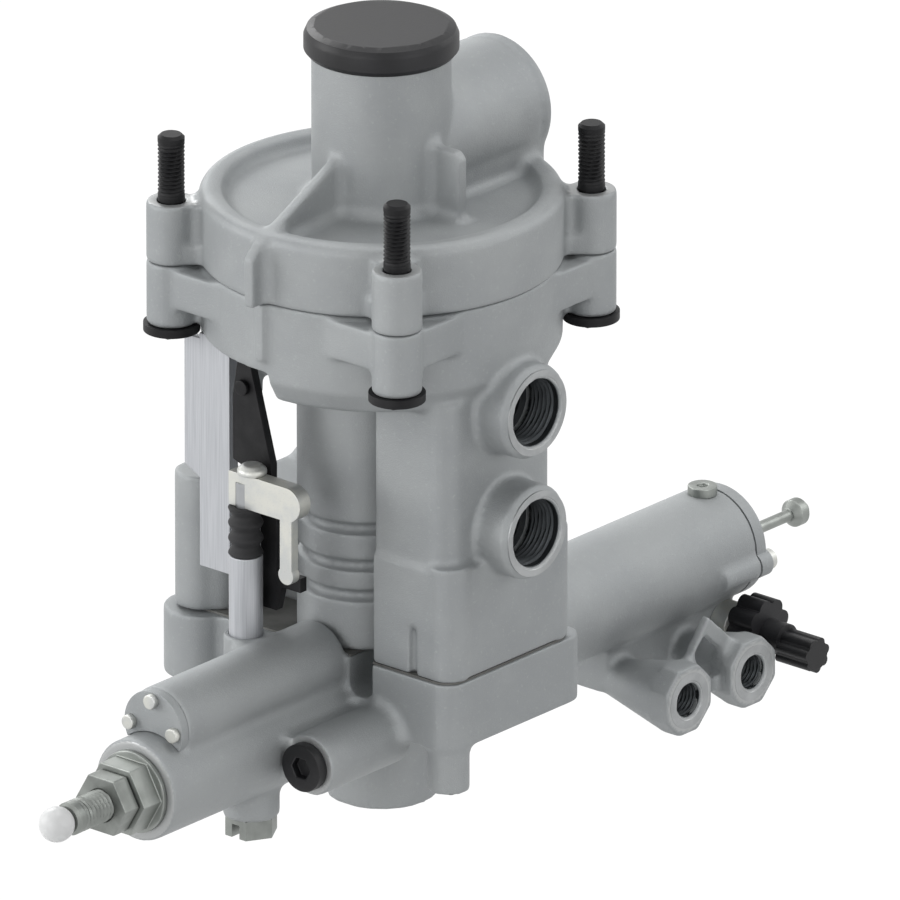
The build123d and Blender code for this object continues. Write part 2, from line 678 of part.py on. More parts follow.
def make_side_plug():
    """Black screw plug that shuts the side gallery."""
    plug = rod_y(SIDE_PLUG_R, GALLERY_END - 3.5, GALLERY_END, GALLERY_X, GALLERY_Z)
    plug += rod_y(SIDE_PLUG_R - 1.35, GALLERY_END - 1, GALLERY_END + 3.8, GALLERY_X, GALLERY_Z)
    return plug - hexagon_y(6.0, GALLERY_END - 4, GALLERY_END - 1, GALLERY_X, GALLERY_Z)


def make_drain_plug():
    """Slotted hexagon plug under the lower lobe."""
    plug = hexagon_z(DRAIN_FLATS, DRAIN_PLUG_LOW, DRAIN_FACE, 0, DRAIN_Y)
    plug += rod_z(4.95, DRAIN_FACE - 1, DRAIN_FACE + 4.8, 0, DRAIN_Y)
    return plug - block(-1.4, 1.4, DRAIN_Y - 9, DRAIN_Y + 9, DRAIN_PLUG_LOW - 1, DRAIN_PLUG_LOW + 4.2)


def make_adjuster_bush():
    """Threaded bush that closes the lower lobe."""
    bush = rod_y(LOBE_BORE_R - 0.05, LOBE_END, LOBE_END + BUSH_NOSE, 0, AXIS_Z)
    bush += rod_y(LOBE_BORE_R + 1.5, LOBE_END - 1.6, LOBE_END, 0, AXIS_Z)
    bush += hexagon_y(BUSH_FLATS, BUSH_HEX_END, LOBE_END - 1.5, 0, AXIS_Z)
    return bush - rod_y(SCREW_R + RUN, BUSH_HEX_END - 1, LOBE_END + BUSH_NOSE + 1, 0, AXIS_Z)


def spring_seat_y():
    """Y of the outer face of the adjusting screw's spring seat."""
    return LOBE_END + BUSH_NOSE + SPRING_SEAT_GAP


def make_adjusting_screw():
    """Adjusting screw with its inner spring seat."""
    seat = spring_seat_y()
    screw = rod_y(SCREW_R, SCREW_END, seat + 1, 0, AXIS_Z)
    return screw + rod_y(SPRING_SEAT_R, seat, seat + SPRING_SEAT_THICK, 0, AXIS_Z)


def make_lock_nut():
    """Lock nut on the adjusting screw."""
    far = BUSH_HEX_END - GAP
    nut = hexagon_y(LOCK_FLATS, far - LOCK_THICK, far, 0, AXIS_Z)
    return nut - rod_y(SCREW_R + 0.02, far - LOCK_THICK - 1, far + 1, 0, AXIS_Z)


def make_tip_ball():
    """Plastic ball pressed on the end of the adjusting screw."""
    ball = Pos(0, BALL_Y, AXIS_Z) * Sphere(BALL_R)
    return ball - rod_y(SCREW_R + 0.5, SCREW_END, SCREW_END + 8, 0, AXIS_Z)


def make_control_spring():
    """Control spring in the lower lobe."""
    start = spring_seat_y() + SPRING_SEAT_THICK
    shape = coil(8.0, 1.2, ROD_END - 3 - start, 4)
    return Pos(0, start, AXIS_Z) * Rot(-90, 0, 0) * shape


def make_control_rod():
    """Control rod with the cone that lifts the tappet."""
    cone_end = CONE_START + CONE_LONG
    high = ROD_R + CONE_RISE * CONE_LONG
    return turned_y([
        (0, ROD_END), (ROD_R, ROD_END), (ROD_R, CONE_START), (high, cone_end),
        (high, cone_end + 4), (ROD_R, cone_end + 6), (ROD_R, CONTROL_PISTON_Y), (0, CONTROL_PISTON_Y),
    ], 0, AXIS_Z)


def make_spring_plate():
    """Plate between control rod and control spring."""
    return rod_y(LOBE_BORE_R - 1.0, ROD_END - 3, ROD_END, 0, AXIS_Z)


def make_control_piston():
    """Control piston with a ring groove."""
    far = CONTROL_PISTON_Y + CONTROL_PISTON_LONG
    piston = rod_y(CYL_BORE_R - RUN, CONTROL_PISTON_Y, far, 0, AXIS_Z)
    mid = (CONTROL_PISTON_Y + far) / 2
    ring = rod_y(CYL_BORE_R, mid - 1.5, mid + 1.5, 0, AXIS_Z)
    ring -= rod_y(CYL_BORE_R - 2, mid - 2, mid + 2, 0, AXIS_Z)
    return piston - ring


def make_piston_seal():
    """Seal ring in the piston's groove."""
    mid = CONTROL_PISTON_Y + CONTROL_PISTON_LONG / 2
    ring = rod_y(CYL_BORE_R - RUN, mid - 1.4, mid + 1.4, 0, AXIS_Z)
    return ring - rod_y(CYL_BORE_R - 2, mid - 2, mid + 2, 0, AXIS_Z)


def make_control_cylinder():
    """Cast control cylinder with the small port block under it."""
    flange = CYL_FRONT + CYL_NECK_LONG
    cyl = rod_y(CYL_R, flange, CYL_END, 0, AXIS_Z)
    cyl += rod_y(CYL_NECK_R, CYL_FRONT, flange + 1, 0, AXIS_Z)
    cyl += rod_y(CYL_FLANGE_R, flange, CYL_FLANGE_END, 0, AXIS_Z)
    for x, z in lug_centres():
        cyl += rod_y(4.2, CYL_END - 16, CYL_END, x, z)
    low = block(-BLOCK_HALF, BLOCK_HALF, BLOCK_Y0, BLOCK_Y1, BLOCK_Z0, BLOCK_Z1)
    low = fillet(low.edges().filter_by(Axis.Y), 4.0)
    low -= block(-30, 30, CYL_END, BLOCK_Y1 + 1, AXIS_Z - CYL_R - 0.6, 40)
    cyl += low
    near_y = SMALL_PORT_YS[0]
    far_y = SMALL_PORT_YS[1]
    mid_y = (near_y + far_y) / 2
    base_z = SMALL_PORT_Z
    web_back = WEB_FACE_X - WEB_THICK
    cyl += outline_yz([
        (near_y + 6, base_z - 3.7), (near_y + 5.5, base_z + 9.3), (mid_y + 0.2, base_z + 20.8),
        (far_y - 5.9, base_z + 12.8), (far_y, base_z + 7.8), (far_y - 7, base_z - 3.7),
    ], web_back, WEB_FACE_X)
    for y in SMALL_PORT_YS:
        cyl += turned_x([
            (0, 0), (SMALL_PIPE_R, 0), (SMALL_PIPE_R, BLOCK_HALF - 4), (SMALL_PORT_R, SMALL_PORT_X - 8),
            (SMALL_PORT_R, SMALL_PORT_X - 4), (0, SMALL_PORT_X - 4),
        ], y, SMALL_PORT_Z)
        cyl += octagon_x(SMALL_PORT_R, SMALL_PORT_X - 7, SMALL_PORT_X, y, SMALL_PORT_Z)
    cyl -= outline_yz([
        (near_y + 8.6, base_z + 10.8), (mid_y - 1.4, base_z + 15.8), (far_y - 8.3, base_z + 8.3),
        (far_y - 10.9, base_z - 0.2), (near_y + 11.3, base_z + 3.8),
    ], web_back - 1, WEB_FACE_X + 1)
    cyl -= rod_y(CYL_BORE_R, CYL_WALL_END, CYL_END + 1, 0, AXIS_Z)
    cyl -= rod_y(ROD_R + RUN, CYL_FRONT - 1, CYL_WALL_END + 1, 0, AXIS_Z)
    for y in SMALL_PORT_YS:
        cyl -= rod_x(SMALL_TAP_R, SMALL_PORT_X - SMALL_DEPTH, SMALL_PORT_X + 1, y, SMALL_PORT_Z)
        cyl -= rod_x(3.5, 0, SMALL_PORT_X - SMALL_DEPTH + 1, y, SMALL_PORT_Z)
    cyl -= rod_z(3.5, SMALL_PORT_Z, AXIS_Z, 0, SMALL_PORT_YS[1])
    cyl -= rod_x(5.0, BLOCK_HALF - 8, BLOCK_HALF + 1, TEST_Y, TEST_Z)
    cyl -= rod_z(BLEED_R + 0.1, AXIS_Z + CYL_R - 0.6, AXIS_Z + CYL_R + 2, 0, BLEED_Y)
    cyl -= rod_z(1.95, AXIS_Z + CYL_R - 3.6, AXIS_Z + CYL_R, 0, BLEED_Y)
    for x, z in lug_centres():
        cyl -= rod_y(1.6, CYL_END - 10, CYL_END + 1, x, z)
    return cyl


def make_end_cap():
    """End cap of the control cylinder, with its screw lugs."""
    cap = turned_y([
        (0, CYL_END), (CYL_R, CYL_END), (CYL_R, CAP_PLATE_END - 2), (CYL_R - 2, CAP_PLATE_END),
        (0, CAP_PLATE_END),
    ], 0, AXIS_Z)
    cap += turned_y([
        (0, CYL_END + 1), (6, CYL_END + 1), (6, CAP_PLATE_END),
        (4.6, CAP_PLATE_END + 4), (0, CAP_PLATE_END + 4),
    ], 0, PIN_Z)
    for x, z in lug_centres():
        cap += rod_y(4.2, CYL_END, CAP_PLATE_END - 1, x, z)
    for x, z in lug_centres():
        cap -= rod_y(1.8, CYL_END - 1, CAP_PLATE_END + 1, x, z)
        cap -= rod_y(3.4, CAP_PLATE_END - 1, CAP_PLATE_END + 1, x, z)
    return cap - rod_y(PIN_R + RUN, CYL_END - 1, CAP_PLATE_END + 6, 0, PIN_Z)


def make_end_screws():
    """Screws that hold the end cap."""
    group = None
    for x, z in lug_centres():
        screw = rod_y(1.6, CYL_END - 9, CAP_PLATE_END - 1, x, z)
        screw += rod_y(3.2, CAP_PLATE_END - 1, CAP_PLATE_END + 2, x, z)
        screw -= hexagon_y(2.5, CAP_PLATE_END + 0.5, CAP_PLATE_END + 3, x, z)
        group = screw if group is None else group + screw
    return group


def make_test_pin():
    """Test pin with its collar inside and its knob outside."""
    pin = rod_y(PIN_R, GUIDE_Y - PIN_PAST, KNOB_Y + 1, 0, PIN_Z)
    pin += rod_y(7.0, CYL_END - 4, CYL_END - GAP, 0, PIN_Z)
    return pin + turned_y([
        (0, KNOB_Y), (KNOB_R - 2, KNOB_Y), (KNOB_R, KNOB_Y + 2), (KNOB_R, KNOB_END - 2.5),
        (KNOB_R - 2.2, KNOB_END), (0, KNOB_END),
    ], 0, PIN_Z)


def make_pin_guide():
    """Ring in the cylinder that guides the test pin."""
    ring = rod_y(CYL_BORE_R, GUIDE_Y, GUIDE_Y + GUIDE_LONG, 0, AXIS_Z)
    return ring - rod_y(PIN_R + RUN, GUIDE_Y - 1, GUIDE_Y + GUIDE_LONG + 1, 0, PIN_Z)


def make_test_spring():
    """Spring that brings the test pin back out."""
    start = GUIDE_Y + GUIDE_LONG
    return Pos(0, start, PIN_Z) * Rot(-90, 0, 0) * coil(5.2, 0.6, CYL_END - 4 - start, 5)


def make_upper_plate():
    """Plate that closes the upper lobe."""
    plate = rod_y(UPPER_R - 0.3, UPPER_END - UPPER_PLATE, UPPER_END, 0, UPPER_Z)
    plate -= rod_y(LOBE_R + 0.2, UPPER_END - UPPER_PLATE - 1, UPPER_END + 1, 0, AXIS_Z)
    return plate - upper_holes(1.4)


def upper_holes(r):
    """Three small screw holes through the upper plate."""
    group = None
    for a in (0, 90, 180):
        t = math.radians(a)
        x = 8.4 * math.cos(t)
        z = UPPER_Z + 8.4 * math.sin(t)
        hole = rod_y(r, UPPER_END - UPPER_PLATE - 1, UPPER_END + 1, x, z)
        group = hole if group is None else group + hole
    return group


def make_upper_screws():
    """Three small screws in the upper plate, seated on it."""
    group = None
    for a in (0, 90, 180):
        t = math.radians(a)
        x = 8.4 * math.cos(t)
        z = UPPER_Z + 8.4 * math.sin(t)
        face = UPPER_END - UPPER_PLATE
        screw = rod_y(1.35, face - 1, UPPER_END, x, z) + rod_y(2.2, face - 2, face, x, z)
        group = screw if group is None else group + screw
    return group


def make_filter():
    """Sintered filter in the upper lobe."""
    far = UPPER_BORE_END - FILTER_WALL
    body = rod_y(UPPER_BORE_R - 0.1, UPPER_END, far, 0, UPPER_BORE_Z)
    return body - rod_y(UPPER_BORE_R - FILTER_WALL, UPPER_END - 1, far - FILTER_WALL, 0, UPPER_BORE_Z)


def make_rail():
    """Flat guide rail that hangs from the ring beside the linkage."""
    y0 = RAIL_Y - RAIL_THICK / 2
    y1 = RAIL_Y + RAIL_THICK / 2
    rail = block(RAIL_X0, RAIL_X1, y0, y1, RAIL_LOW, NOTCH_Z - GAP)
    top = STUD_LOW - 2 * GAP
    rail += plate_xz([
        (RAIL_X0 + 1, RAIL_STEP - 4), (RAIL_X0 + 1, top), (RAIL_WIDE_X0, top), (RAIL_WIDE_X0, RAIL_STEP),
        (RAIL_X0, RAIL_STEP - 4),
    ], y0 + RAIL_SET_BACK, y1)
    rail += block(RAIL_X1 - 12, RAIL_X1, y1 - 1, y1 + 9, RING_BOTTOM - 3.1, RING_BOTTOM - 0.1)
    return rail - rod_z(2.2, RING_BOTTOM - 4, RING_BOTTOM, RAIL_X1 - 6, y1 + 4.5)


def make_rail_screw():
    """Screw that holds the rail under the ring."""
    y = RAIL_Y + RAIL_THICK / 2 + 4.5
    x = RAIL_X1 - 6
    screw = rod_z(2.1, RING_BOTTOM - 3.1, RING_BOTTOM - 0.1, x, y)
    return screw + hexagon_z(7.0, RING_BOTTOM - 6.1, RING_BOTTOM - 3.1, x, y)


def make_blade():
    """Dark hanging lever: wedge above, thin strip and hook below."""
    y0 = BLADE_Y - BLADE_THICK / 2
    y1 = BLADE_Y + BLADE_THICK / 2
    x = BLADE_PIN_X
    top = BLADE_PIN_Z + BLADE_EYE
    neck = BLADE_PIN_Z - BLADE_NECK
    step = BLADE_PIN_Z - BLADE_STEP
    hook = BLADE_PIN_Z - BLADE_HOOK
    foot = BLADE_PIN_Z - BLADE_FOOT
    blade = plate_xz([
        (x - 2, top), (x + 2, top), (x + 10.5, neck), (x + 10.5, step + 2), (x + 12.5, step),
        (x + 12.5, hook), (x + 21.8, hook), (x + 21.8, hook - 4.4), (x + 14.5, hook - 4.4),
        (x + 12.5, foot), (x + 7, foot), (x + 6.3, step), (x + 6.3, neck - 5), (x - 4.2, neck - 1.5),
        (x - 4.2, BLADE_PIN_Z - 3),
    ], y0, y1)
    return blade - rod_y(BLADE_PIN_R + RUN, y0 - 1, y1 + 1, BLADE_PIN_X, BLADE_PIN_Z)


def make_blade_pin():
    """Headed pin on which the lever hangs."""
    y0 = BLADE_Y - BLADE_THICK / 2
    pin = rod_y(BLADE_PIN_R, y0 - 0.4, LUG_FRONT_Y + LUG_THICK, BLADE_PIN_X, BLADE_PIN_Z)
    return pin + rod_y(BLADE_PIN_R + 0.8, y0 - 1.6, y0 - GAP, BLADE_PIN_X, BLADE_PIN_Z)


def make_bracket():
    """Plated cross bracket with a rounded end, a leg and a curled foot."""
    bar = block(BRACKET_X0, BRACKET_X1, BRACKET_Y0, BRACKET_Y1, BRACKET_LOW, BRACKET_HIGH)
    mid = (BRACKET_LOW + BRACKET_HIGH) / 2
    bar += rod_y((BRACKET_HIGH - BRACKET_LOW) / 2, BRACKET_Y0, BRACKET_Y1, BRACKET_X1, mid)
    leg_x = BRACKET_X1 + 2
    leg_y = BRACKET_Y0 + 3
    half = BRACKET_LEG_WIDE / 2
    bar += block(leg_x - 2 * half, leg_x, BRACKET_Y0, leg_y, BRACKET_LEG_LOW, BRACKET_LOW + 2)
    bar += rod_y(half + 0.6, BRACKET_Y0, leg_y, leg_x - half, BRACKET_LEG_LOW)
    return bar - rod_z(PLUNGER_R + 0.02, BRACKET_LOW - 1, BRACKET_HIGH - 3, PLUNGER_X, PLUNGER_Y)


def make_bracket_screw():
    """Round head screw on top of the bracket."""
    high = BRACKET_HIGH
    return turned_at(PLUNGER_X + 2.5, PLUNGER_Y, [
        (0, high), (4.4, high), (4.4, high + 1.6), (2.8, high + 3), (0, high + 3),
    ])


def turned_at(x, y, points):
    """A turned piece on an upright axis."""
    return Pos(x, y, 0) * turned(points)


def make_plunger():
    """Plunger under the cross bracket."""
    return rod_z(PLUNGER_R, BUSH_LOW + 4, BRACKET_HIGH - 3, PLUNGER_X, PLUNGER_Y)


def make_plunger_bush():
    """Guide bush pressed into the boss beside the upper lobe."""
    bush = rod_z(5.0, BUSH_LOW, BUSH_TOP, PLUNGER_X, PLUNGER_Y)
    return bush - rod_z(PLUNGER_R + RUN, BUSH_LOW + 3, BUSH_TOP + 1, PLUNGER_X, PLUNGER_Y)


def make_boot():
    """Rubber boot on the plunger, with two folds."""
    low = BUSH_TOP + 0.1
    step = (BRACKET_LOW - 0.1 - low) / 6
    outer = [(PLUNGER_R + 0.4, low)]
    for k in range(7):
        r = BOOT_R if k % 2 == 0 else BOOT_R - 0.9
        outer.append((r, low + k * step))
    outer.append((PLUNGER_R + 0.4, low + 6 * step))
    return turned_at(PLUNGER_X, PLUNGER_Y, outer)


def make_bleed_screw():
    """Low head screw on top of the control cylinder."""
    top = AXIS_Z + CYL_R
    screw = rod_z(BLEED_R, top - 0.6, top + BLEED_HEAD, 0, BLEED_Y)
    screw -= hexagon_z(3.2, top + BLEED_HEAD - 1, top + BLEED_HEAD + 1, 0, BLEED_Y)
    return screw + rod_z(1.9, top - 3.5, top - 0.5, 0, BLEED_Y)


def make_test_coupling():
    """Test coupling screwed into the port block."""
    coupling = rod_x(4.95, BLOCK_HALF - 7.5, BLOCK_HALF + 0.5, TEST_Y, TEST_Z)
    return coupling + rod_x(7.0, BLOCK_HALF, BLOCK_HALF + TEST_FLANGE, TEST_Y, TEST_Z)


def knobbed(r, lobes, x0, x1, y, z):
    """A disc along X with a scalloped rim."""
    disc = rod_x(0.84 * r, x0, x1, y, z)
    for k in range(lobes):
        a = 2 * math.pi * (k + 0.25) / lobes
        disc += rod_x(0.3 * r, x0, x1, y + 0.7 * r * math.cos(a), z + 0.7 * r * math.sin(a))
    return disc


def make_test_caps():
    """Two black caps one behind the other on the test coupling."""
    x0 = BLOCK_HALF + TEST_FLANGE
    x1 = x0 + TEST_CAP_LONG
    cap = knobbed(TEST_CAP_R, 8, x0, x1, TEST_Y + 3, TEST_Z + 0.7)
    cap += rod_x(5.0, x1 - 1, TEST_TAIL_X + 1, TEST_Y + 3, TEST_Z - 1.2)
    cap += knobbed(TEST_TAIL_R, 7, TEST_TAIL_X, TEST_TAIL_X + TEST_TAIL_LONG, TEST_Y + 3.5, TEST_Z - 3.2)
    return cap


save("main_body", make_main_body())
save("top_cover", make_top_cover())
save("dust_cap", make_cap())
save("pilot_spring", make_neck_spring())
save("pilot_seat", make_neck_seat())
save("mounting_studs", make_studs())
save("stud_nuts", make_stud_nuts())
save("diaphragm", make_membrane())
save("relay_piston", make_relay_piston())
save("inlet_valve", make_inlet_valve())
save("valve_spring", make_valve_spring())
save("tappet", make_tappet())
save("base_gasket", make_gasket())
save("base_housing", make_base_housing())
save("base_screws", make_base_screws())
save("exhaust_screen", make_exhaust_screen())
save("side_plug", make_side_plug())
save("drain_plug", make_drain_plug())
save("adjuster_bush", make_adjuster_bush())
save("adjusting_screw", make_adjusting_screw())
save("lock_nut", make_lock_nut())
save("tip_ball", make_tip_ball())
save("control_spring", make_control_spring())
save("control_rod", make_control_rod())
save("spring_plate", make_spring_plate())
save("control_piston", make_control_piston())
save("piston_seal", make_piston_seal())
save("control_cylinder", make_control_cylinder())
save("end_cap", make_end_cap())
save("end_cap_screws", make_end_screws())
save("test_pin", make_test_pin())
save("pin_guide", make_pin_guide())
save("test_spring", make_test_spring())
save("upper_plate", make_upper_plate())
save("upper_plate_screws", make_upper_screws())
save("air_filter", make_filter())
save("guide_rail", make_rail())
save("rail_screw", make_rail_screw())
save("hanging_lever", make_blade())
save("lever_pin", make_blade_pin())
save("cross_bracket", make_bracket())
save("bracket_screw", make_bracket_screw())
save("plunger", make_plunger())
save("plunger_bush", make_plunger_bush())
save("plunger_boot", make_boot())
save("bleed_screw", make_bleed_screw())
save("test_coupling", make_test_coupling())
save("test_caps", make_test_caps())
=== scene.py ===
# %% [markdown]
# An air brake load sensing relay valve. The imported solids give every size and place. This script dresses
# them: the castings get soft edges and grain, the turned parts get threads, and the plastics and rubbers
# their finish.

# %% Start from the frame
import json
import math

import bmesh
import bpy
import numpy as np
from mathutils import Matrix, Vector


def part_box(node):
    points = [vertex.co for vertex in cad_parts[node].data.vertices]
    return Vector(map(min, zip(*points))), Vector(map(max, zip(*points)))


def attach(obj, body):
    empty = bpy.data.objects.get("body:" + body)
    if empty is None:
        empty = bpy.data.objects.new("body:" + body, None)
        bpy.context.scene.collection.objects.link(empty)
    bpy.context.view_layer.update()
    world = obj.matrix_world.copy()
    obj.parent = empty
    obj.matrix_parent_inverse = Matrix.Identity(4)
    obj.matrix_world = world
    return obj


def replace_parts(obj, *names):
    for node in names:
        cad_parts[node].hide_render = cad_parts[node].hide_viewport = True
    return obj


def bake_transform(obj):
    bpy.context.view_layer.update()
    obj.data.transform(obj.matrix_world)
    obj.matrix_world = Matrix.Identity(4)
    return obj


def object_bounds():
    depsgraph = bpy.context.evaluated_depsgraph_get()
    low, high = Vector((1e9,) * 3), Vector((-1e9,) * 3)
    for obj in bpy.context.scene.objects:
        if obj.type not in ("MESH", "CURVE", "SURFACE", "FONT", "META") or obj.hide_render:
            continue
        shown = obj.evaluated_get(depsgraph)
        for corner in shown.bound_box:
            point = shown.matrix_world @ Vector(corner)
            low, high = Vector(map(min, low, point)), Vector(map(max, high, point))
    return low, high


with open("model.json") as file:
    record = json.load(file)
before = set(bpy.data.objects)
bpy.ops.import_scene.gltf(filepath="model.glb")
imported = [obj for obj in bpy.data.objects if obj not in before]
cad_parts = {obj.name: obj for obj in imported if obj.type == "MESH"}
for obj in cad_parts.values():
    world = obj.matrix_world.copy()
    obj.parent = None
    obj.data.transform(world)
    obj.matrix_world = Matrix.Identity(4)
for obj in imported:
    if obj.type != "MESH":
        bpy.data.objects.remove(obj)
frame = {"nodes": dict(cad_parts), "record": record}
cad_low, cad_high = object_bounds()
body_of_node = {n: b for b, names in frame["record"]["behaviour"]["bodies"].items() for n in names}
slot_of_node = {s["node"]: s["material_slot"] for s in frame["record"]["subparts"]}
mount_of = {m["name"]: m for m in frame["record"]["mounts"]}
MM = 0.001
print(len(frame["nodes"]), "nodes, size in mm", [round(1000 * v) for v in cad_high - cad_low])

# %% [markdown]
# A material is a small graph. Writing it as arithmetic keeps it readable, so one class wraps a socket and
# gives it the usual operators, and another holds the material and adds every other node by one method.


# %% Shader arithmetic
class Wire:
    """An output socket that can be added, multiplied and compared like a number."""

    def __init__(self, finish, socket):
        self.finish = finish
        self.socket = socket

    def maths(self, operation, *values):
        return self.finish.node("ShaderNodeMath", {"operation": operation}, dict(enumerate(values)))

    def __add__(self, other):
        return self.maths("ADD", self, other)

    __radd__ = __add__

    def __sub__(self, other):
        return self.maths("SUBTRACT", self, other)

    def __rsub__(self, other):
        return self.maths("SUBTRACT", other, self)

    def __mul__(self, other):
        return self.maths("MULTIPLY", self, other)

    __rmul__ = __mul__

    def clamped(self):
        return self.finish.node("ShaderNodeClamp", {}, {"Value": self})

    def step(self, low, high):
        """Rises smoothly from 0 to 1 between two values."""
        values = {"Value": self, "From Min": low, "From Max": high}
        return self.finish.node("ShaderNodeMapRange", {"interpolation_type": "SMOOTHSTEP"}, values)


class Finish:
    """A material whose nodes are added one by one. Constants sit on the shader's own sockets."""

    def __init__(self, name, **constants):
        self.material = bpy.data.materials.new(name)
        self.material.use_nodes = True
        self.tree = self.material.node_tree
        self.shader = self.tree.nodes["Principled BSDF"]
        for socket, value in constants.items():
            self.shader.inputs[socket.replace("_", " ")].default_value = value

    def node(self, kind, settings, values, output=0):
        """Adds a node, sets what it is first and then its sockets, and returns one of its outputs."""
        made = self.tree.nodes.new(kind)
        for key, value in settings.items():
            setattr(made, key, value)
        for key, value in values.items():
            if isinstance(value, Wire):
                self.tree.links.new(value.socket, made.inputs[key])
            else:
                made.inputs[key].default_value = value
        return Wire(self, made.outputs[output])

    def feed(self, **wires):
        for socket, wire in wires.items():
            self.tree.links.new(wire.socket, self.shader.inputs[socket.replace("_", " ")])

    def place(self):
        return self.node("ShaderNodeTexCoord", {}, {}, output=3)

    def noise(self, scale, detail=3.0, where=None):
        """Clouds of this many per metre, at the object's own coordinates unless told otherwise."""
        values = {"Vector": where or self.place(), "Scale": scale, "Detail": detail, "Roughness": 0.55}
        return self.node("ShaderNodeTexNoise", {}, values)

    def mark(self, name):
        """A value that was worked out for each vertex of the piece."""
        return self.node("ShaderNodeAttribute", {"attribute_name": name}, {}, output=2)

    def blend(self, share, first, second):
        """A colour between two colours or colour wires."""
        settings = {"data_type": "RGBA"}
        return self.node("ShaderNodeMix", settings, {0: share, 6: first, 7: second}, output=2)

    def bump(self, height, distance, strength):
        """Relief that stands out by this distance, in metres, where the height is 1."""
        values = {"Height": height, "Distance": distance, "Strength": strength}
        return self.node("ShaderNodeBump", {}, values)


print("shader helpers ready")

# %% [markdown]
# The castings are blasted aluminium: dull, cool grey, with a fine pebbly grain. Handling has polished the
# outer edges, and painted shade darkens the inner corners. Each vertex carries how convex the skin is there,
# which drives both the polish and the painted shade, and how much of it is a machined face, in "machined".
# Both come from the mesh itself, further down.


# %% The cast and the machined aluminium
def cast_finish():
    """Blasted casting: clouds and speckle in the grey, painted shade in the corners, polished edges and cut
    faces.
    """
    f = Finish("blasted casting", Metallic=0.55)
    wear_and_shade = f.mark("wear_and_shade")
    cut = f.mark("machined")
    clouds = f.noise(28.0, 4.0)
    speckle = f.noise(900.0, 2.0)
    grain = f.noise(2600.0, 3.0)
    tone = f.blend(clouds.step(0.3, 0.7), (0.31, 0.325, 0.333, 1), (0.37, 0.385, 0.39, 1))
    tone = f.blend(speckle.step(0.58, 0.8) * 0.35, tone, (0.46, 0.48, 0.48, 1))
    # Painted shade: concave corners of the skin are darkened in colour, standing in for the shade that falls
    # there.
    tone = f.blend((0 - wear_and_shade).step(0.04, 0.4) * 0.6, tone, (0.16, 0.17, 0.175, 1))
    polish = wear_and_shade.step(0.08, 0.45)
    tone = f.blend(polish * 0.55, tone, (0.6, 0.615, 0.62, 1))
    tone = f.blend(cut * 0.85, tone, (0.44, 0.45, 0.45, 1))
    rough = 0.56 + 0.12 * clouds - 0.14 * polish - 0.2 * cut
    height = grain * (1 - cut) + 0.4 * speckle * (1 - cut)
    f.feed(Base_Color=tone, Roughness=rough, Normal=f.bump(height, 0.00022, 0.55))
    return f.material


def tapped_finish():
    """Machined faces and bores: fine lathe rings on the face, and painted shade, nearly black, in the bore.

    Each vertex carries its distance from the axis in mm, "reach", and whether it lies in the bore, "bore".
    """
    f = Finish("machined port", Metallic=0.75)
    turns = f.mark("reach") * 26.0
    rings = turns.maths("SINE", turns)
    drift = f.noise(160.0, 3.0)
    bore_shade = f.mark("bore").step(0.3, 0.9)
    tone = f.blend(drift.step(0.3, 0.75), (0.32, 0.33, 0.335, 1), (0.4, 0.41, 0.415, 1))
    # Painted shade: the bore is coloured nearly black, standing in for the shade deep inside it.
    tone = f.blend(bore_shade, tone, (0.045, 0.05, 0.054, 1))
    f.feed(Base_Color=tone, Roughness=0.36 + 0.14 * drift, Normal=f.bump(rings, 0.00004, 0.4))
    return f.material


CAST = cast_finish()
TAPPED = tapped_finish()
print("cast and machined aluminium ready")

# %% [markdown]
# The small parts have their own metals: zinc plating has a faint warm and blue play in its grey, black
# coated steel shows a little brown where it rubs, and drawn profiles have long fine lines.


# %% The small parts' metals
def zinc_finish():
    """Zinc plating: a cloudy grey, a little warm in places, with fine dark specks."""
    f = Finish("zinc plated steel", Metallic=0.9)
    cloud = f.noise(150.0, 4.0)
    fine = f.noise(1800.0, 3.0)
    tone = f.blend(cloud.step(0.35, 0.65), (0.5, 0.51, 0.5, 1), (0.57, 0.57, 0.53, 1))
    tone = f.blend(fine.step(0.55, 0.75) * 0.3, tone, (0.3, 0.31, 0.31, 1))
    f.feed(Base_Color=tone, Roughness=0.4 + 0.2 * cloud, Normal=f.bump(fine, 0.00005, 0.4))
    return f.material


def black_steel_finish():
    """Black coated steel, nearly even, a touch browner where it rubs."""
    f = Finish("black coated steel", Metallic=0.3, Specular_IOR_Level=0.3)
    cloud = f.noise(120.0, 3.0)
    fine = f.noise(2200.0, 3.0)
    tone = f.blend(cloud.step(0.4, 0.7), (0.006, 0.006, 0.007, 1), (0.015, 0.015, 0.016, 1))
    tone = f.blend(f.mark("wear_and_shade").step(0.15, 0.6) * 0.35, tone, (0.075, 0.072, 0.07, 1))
    f.feed(Base_Color=tone, Roughness=0.42 + 0.2 * cloud, Normal=f.bump(fine, 0.00004, 0.5))
    return f.material


def drawn_finish(name, colour, shade, rough):
    """Drawn metal with fine lines along Z."""
    f = Finish(name, Metallic=0.9)
    along = f.node("ShaderNodeMapping", {}, {"Vector": f.place(), "Scale": (1.0, 1.0, 0.012)})
    lines = f.noise(3200.0, 3.0, along)
    cloud = f.noise(40.0, 2.0)
    tone = f.blend(lines.step(0.35, 0.7), colour, shade)
    f.feed(Base_Color=tone, Roughness=rough + 0.14 * cloud, Normal=f.bump(lines, 0.00004, 0.35))
    return f.material


def plain_metal(name, colour, shade, rough):
    """Turned or ground metal between two tones."""
    f = Finish(name, Metallic=1.0)
    cloud = f.noise(90.0, 3.0)
    fine = f.noise(2400.0, 2.0)
    tone = f.blend(cloud.step(0.3, 0.7), colour, shade)
    f.feed(Base_Color=tone, Roughness=rough + 0.12 * cloud, Normal=f.bump(fine, 0.00003, 0.3))
    return f.material


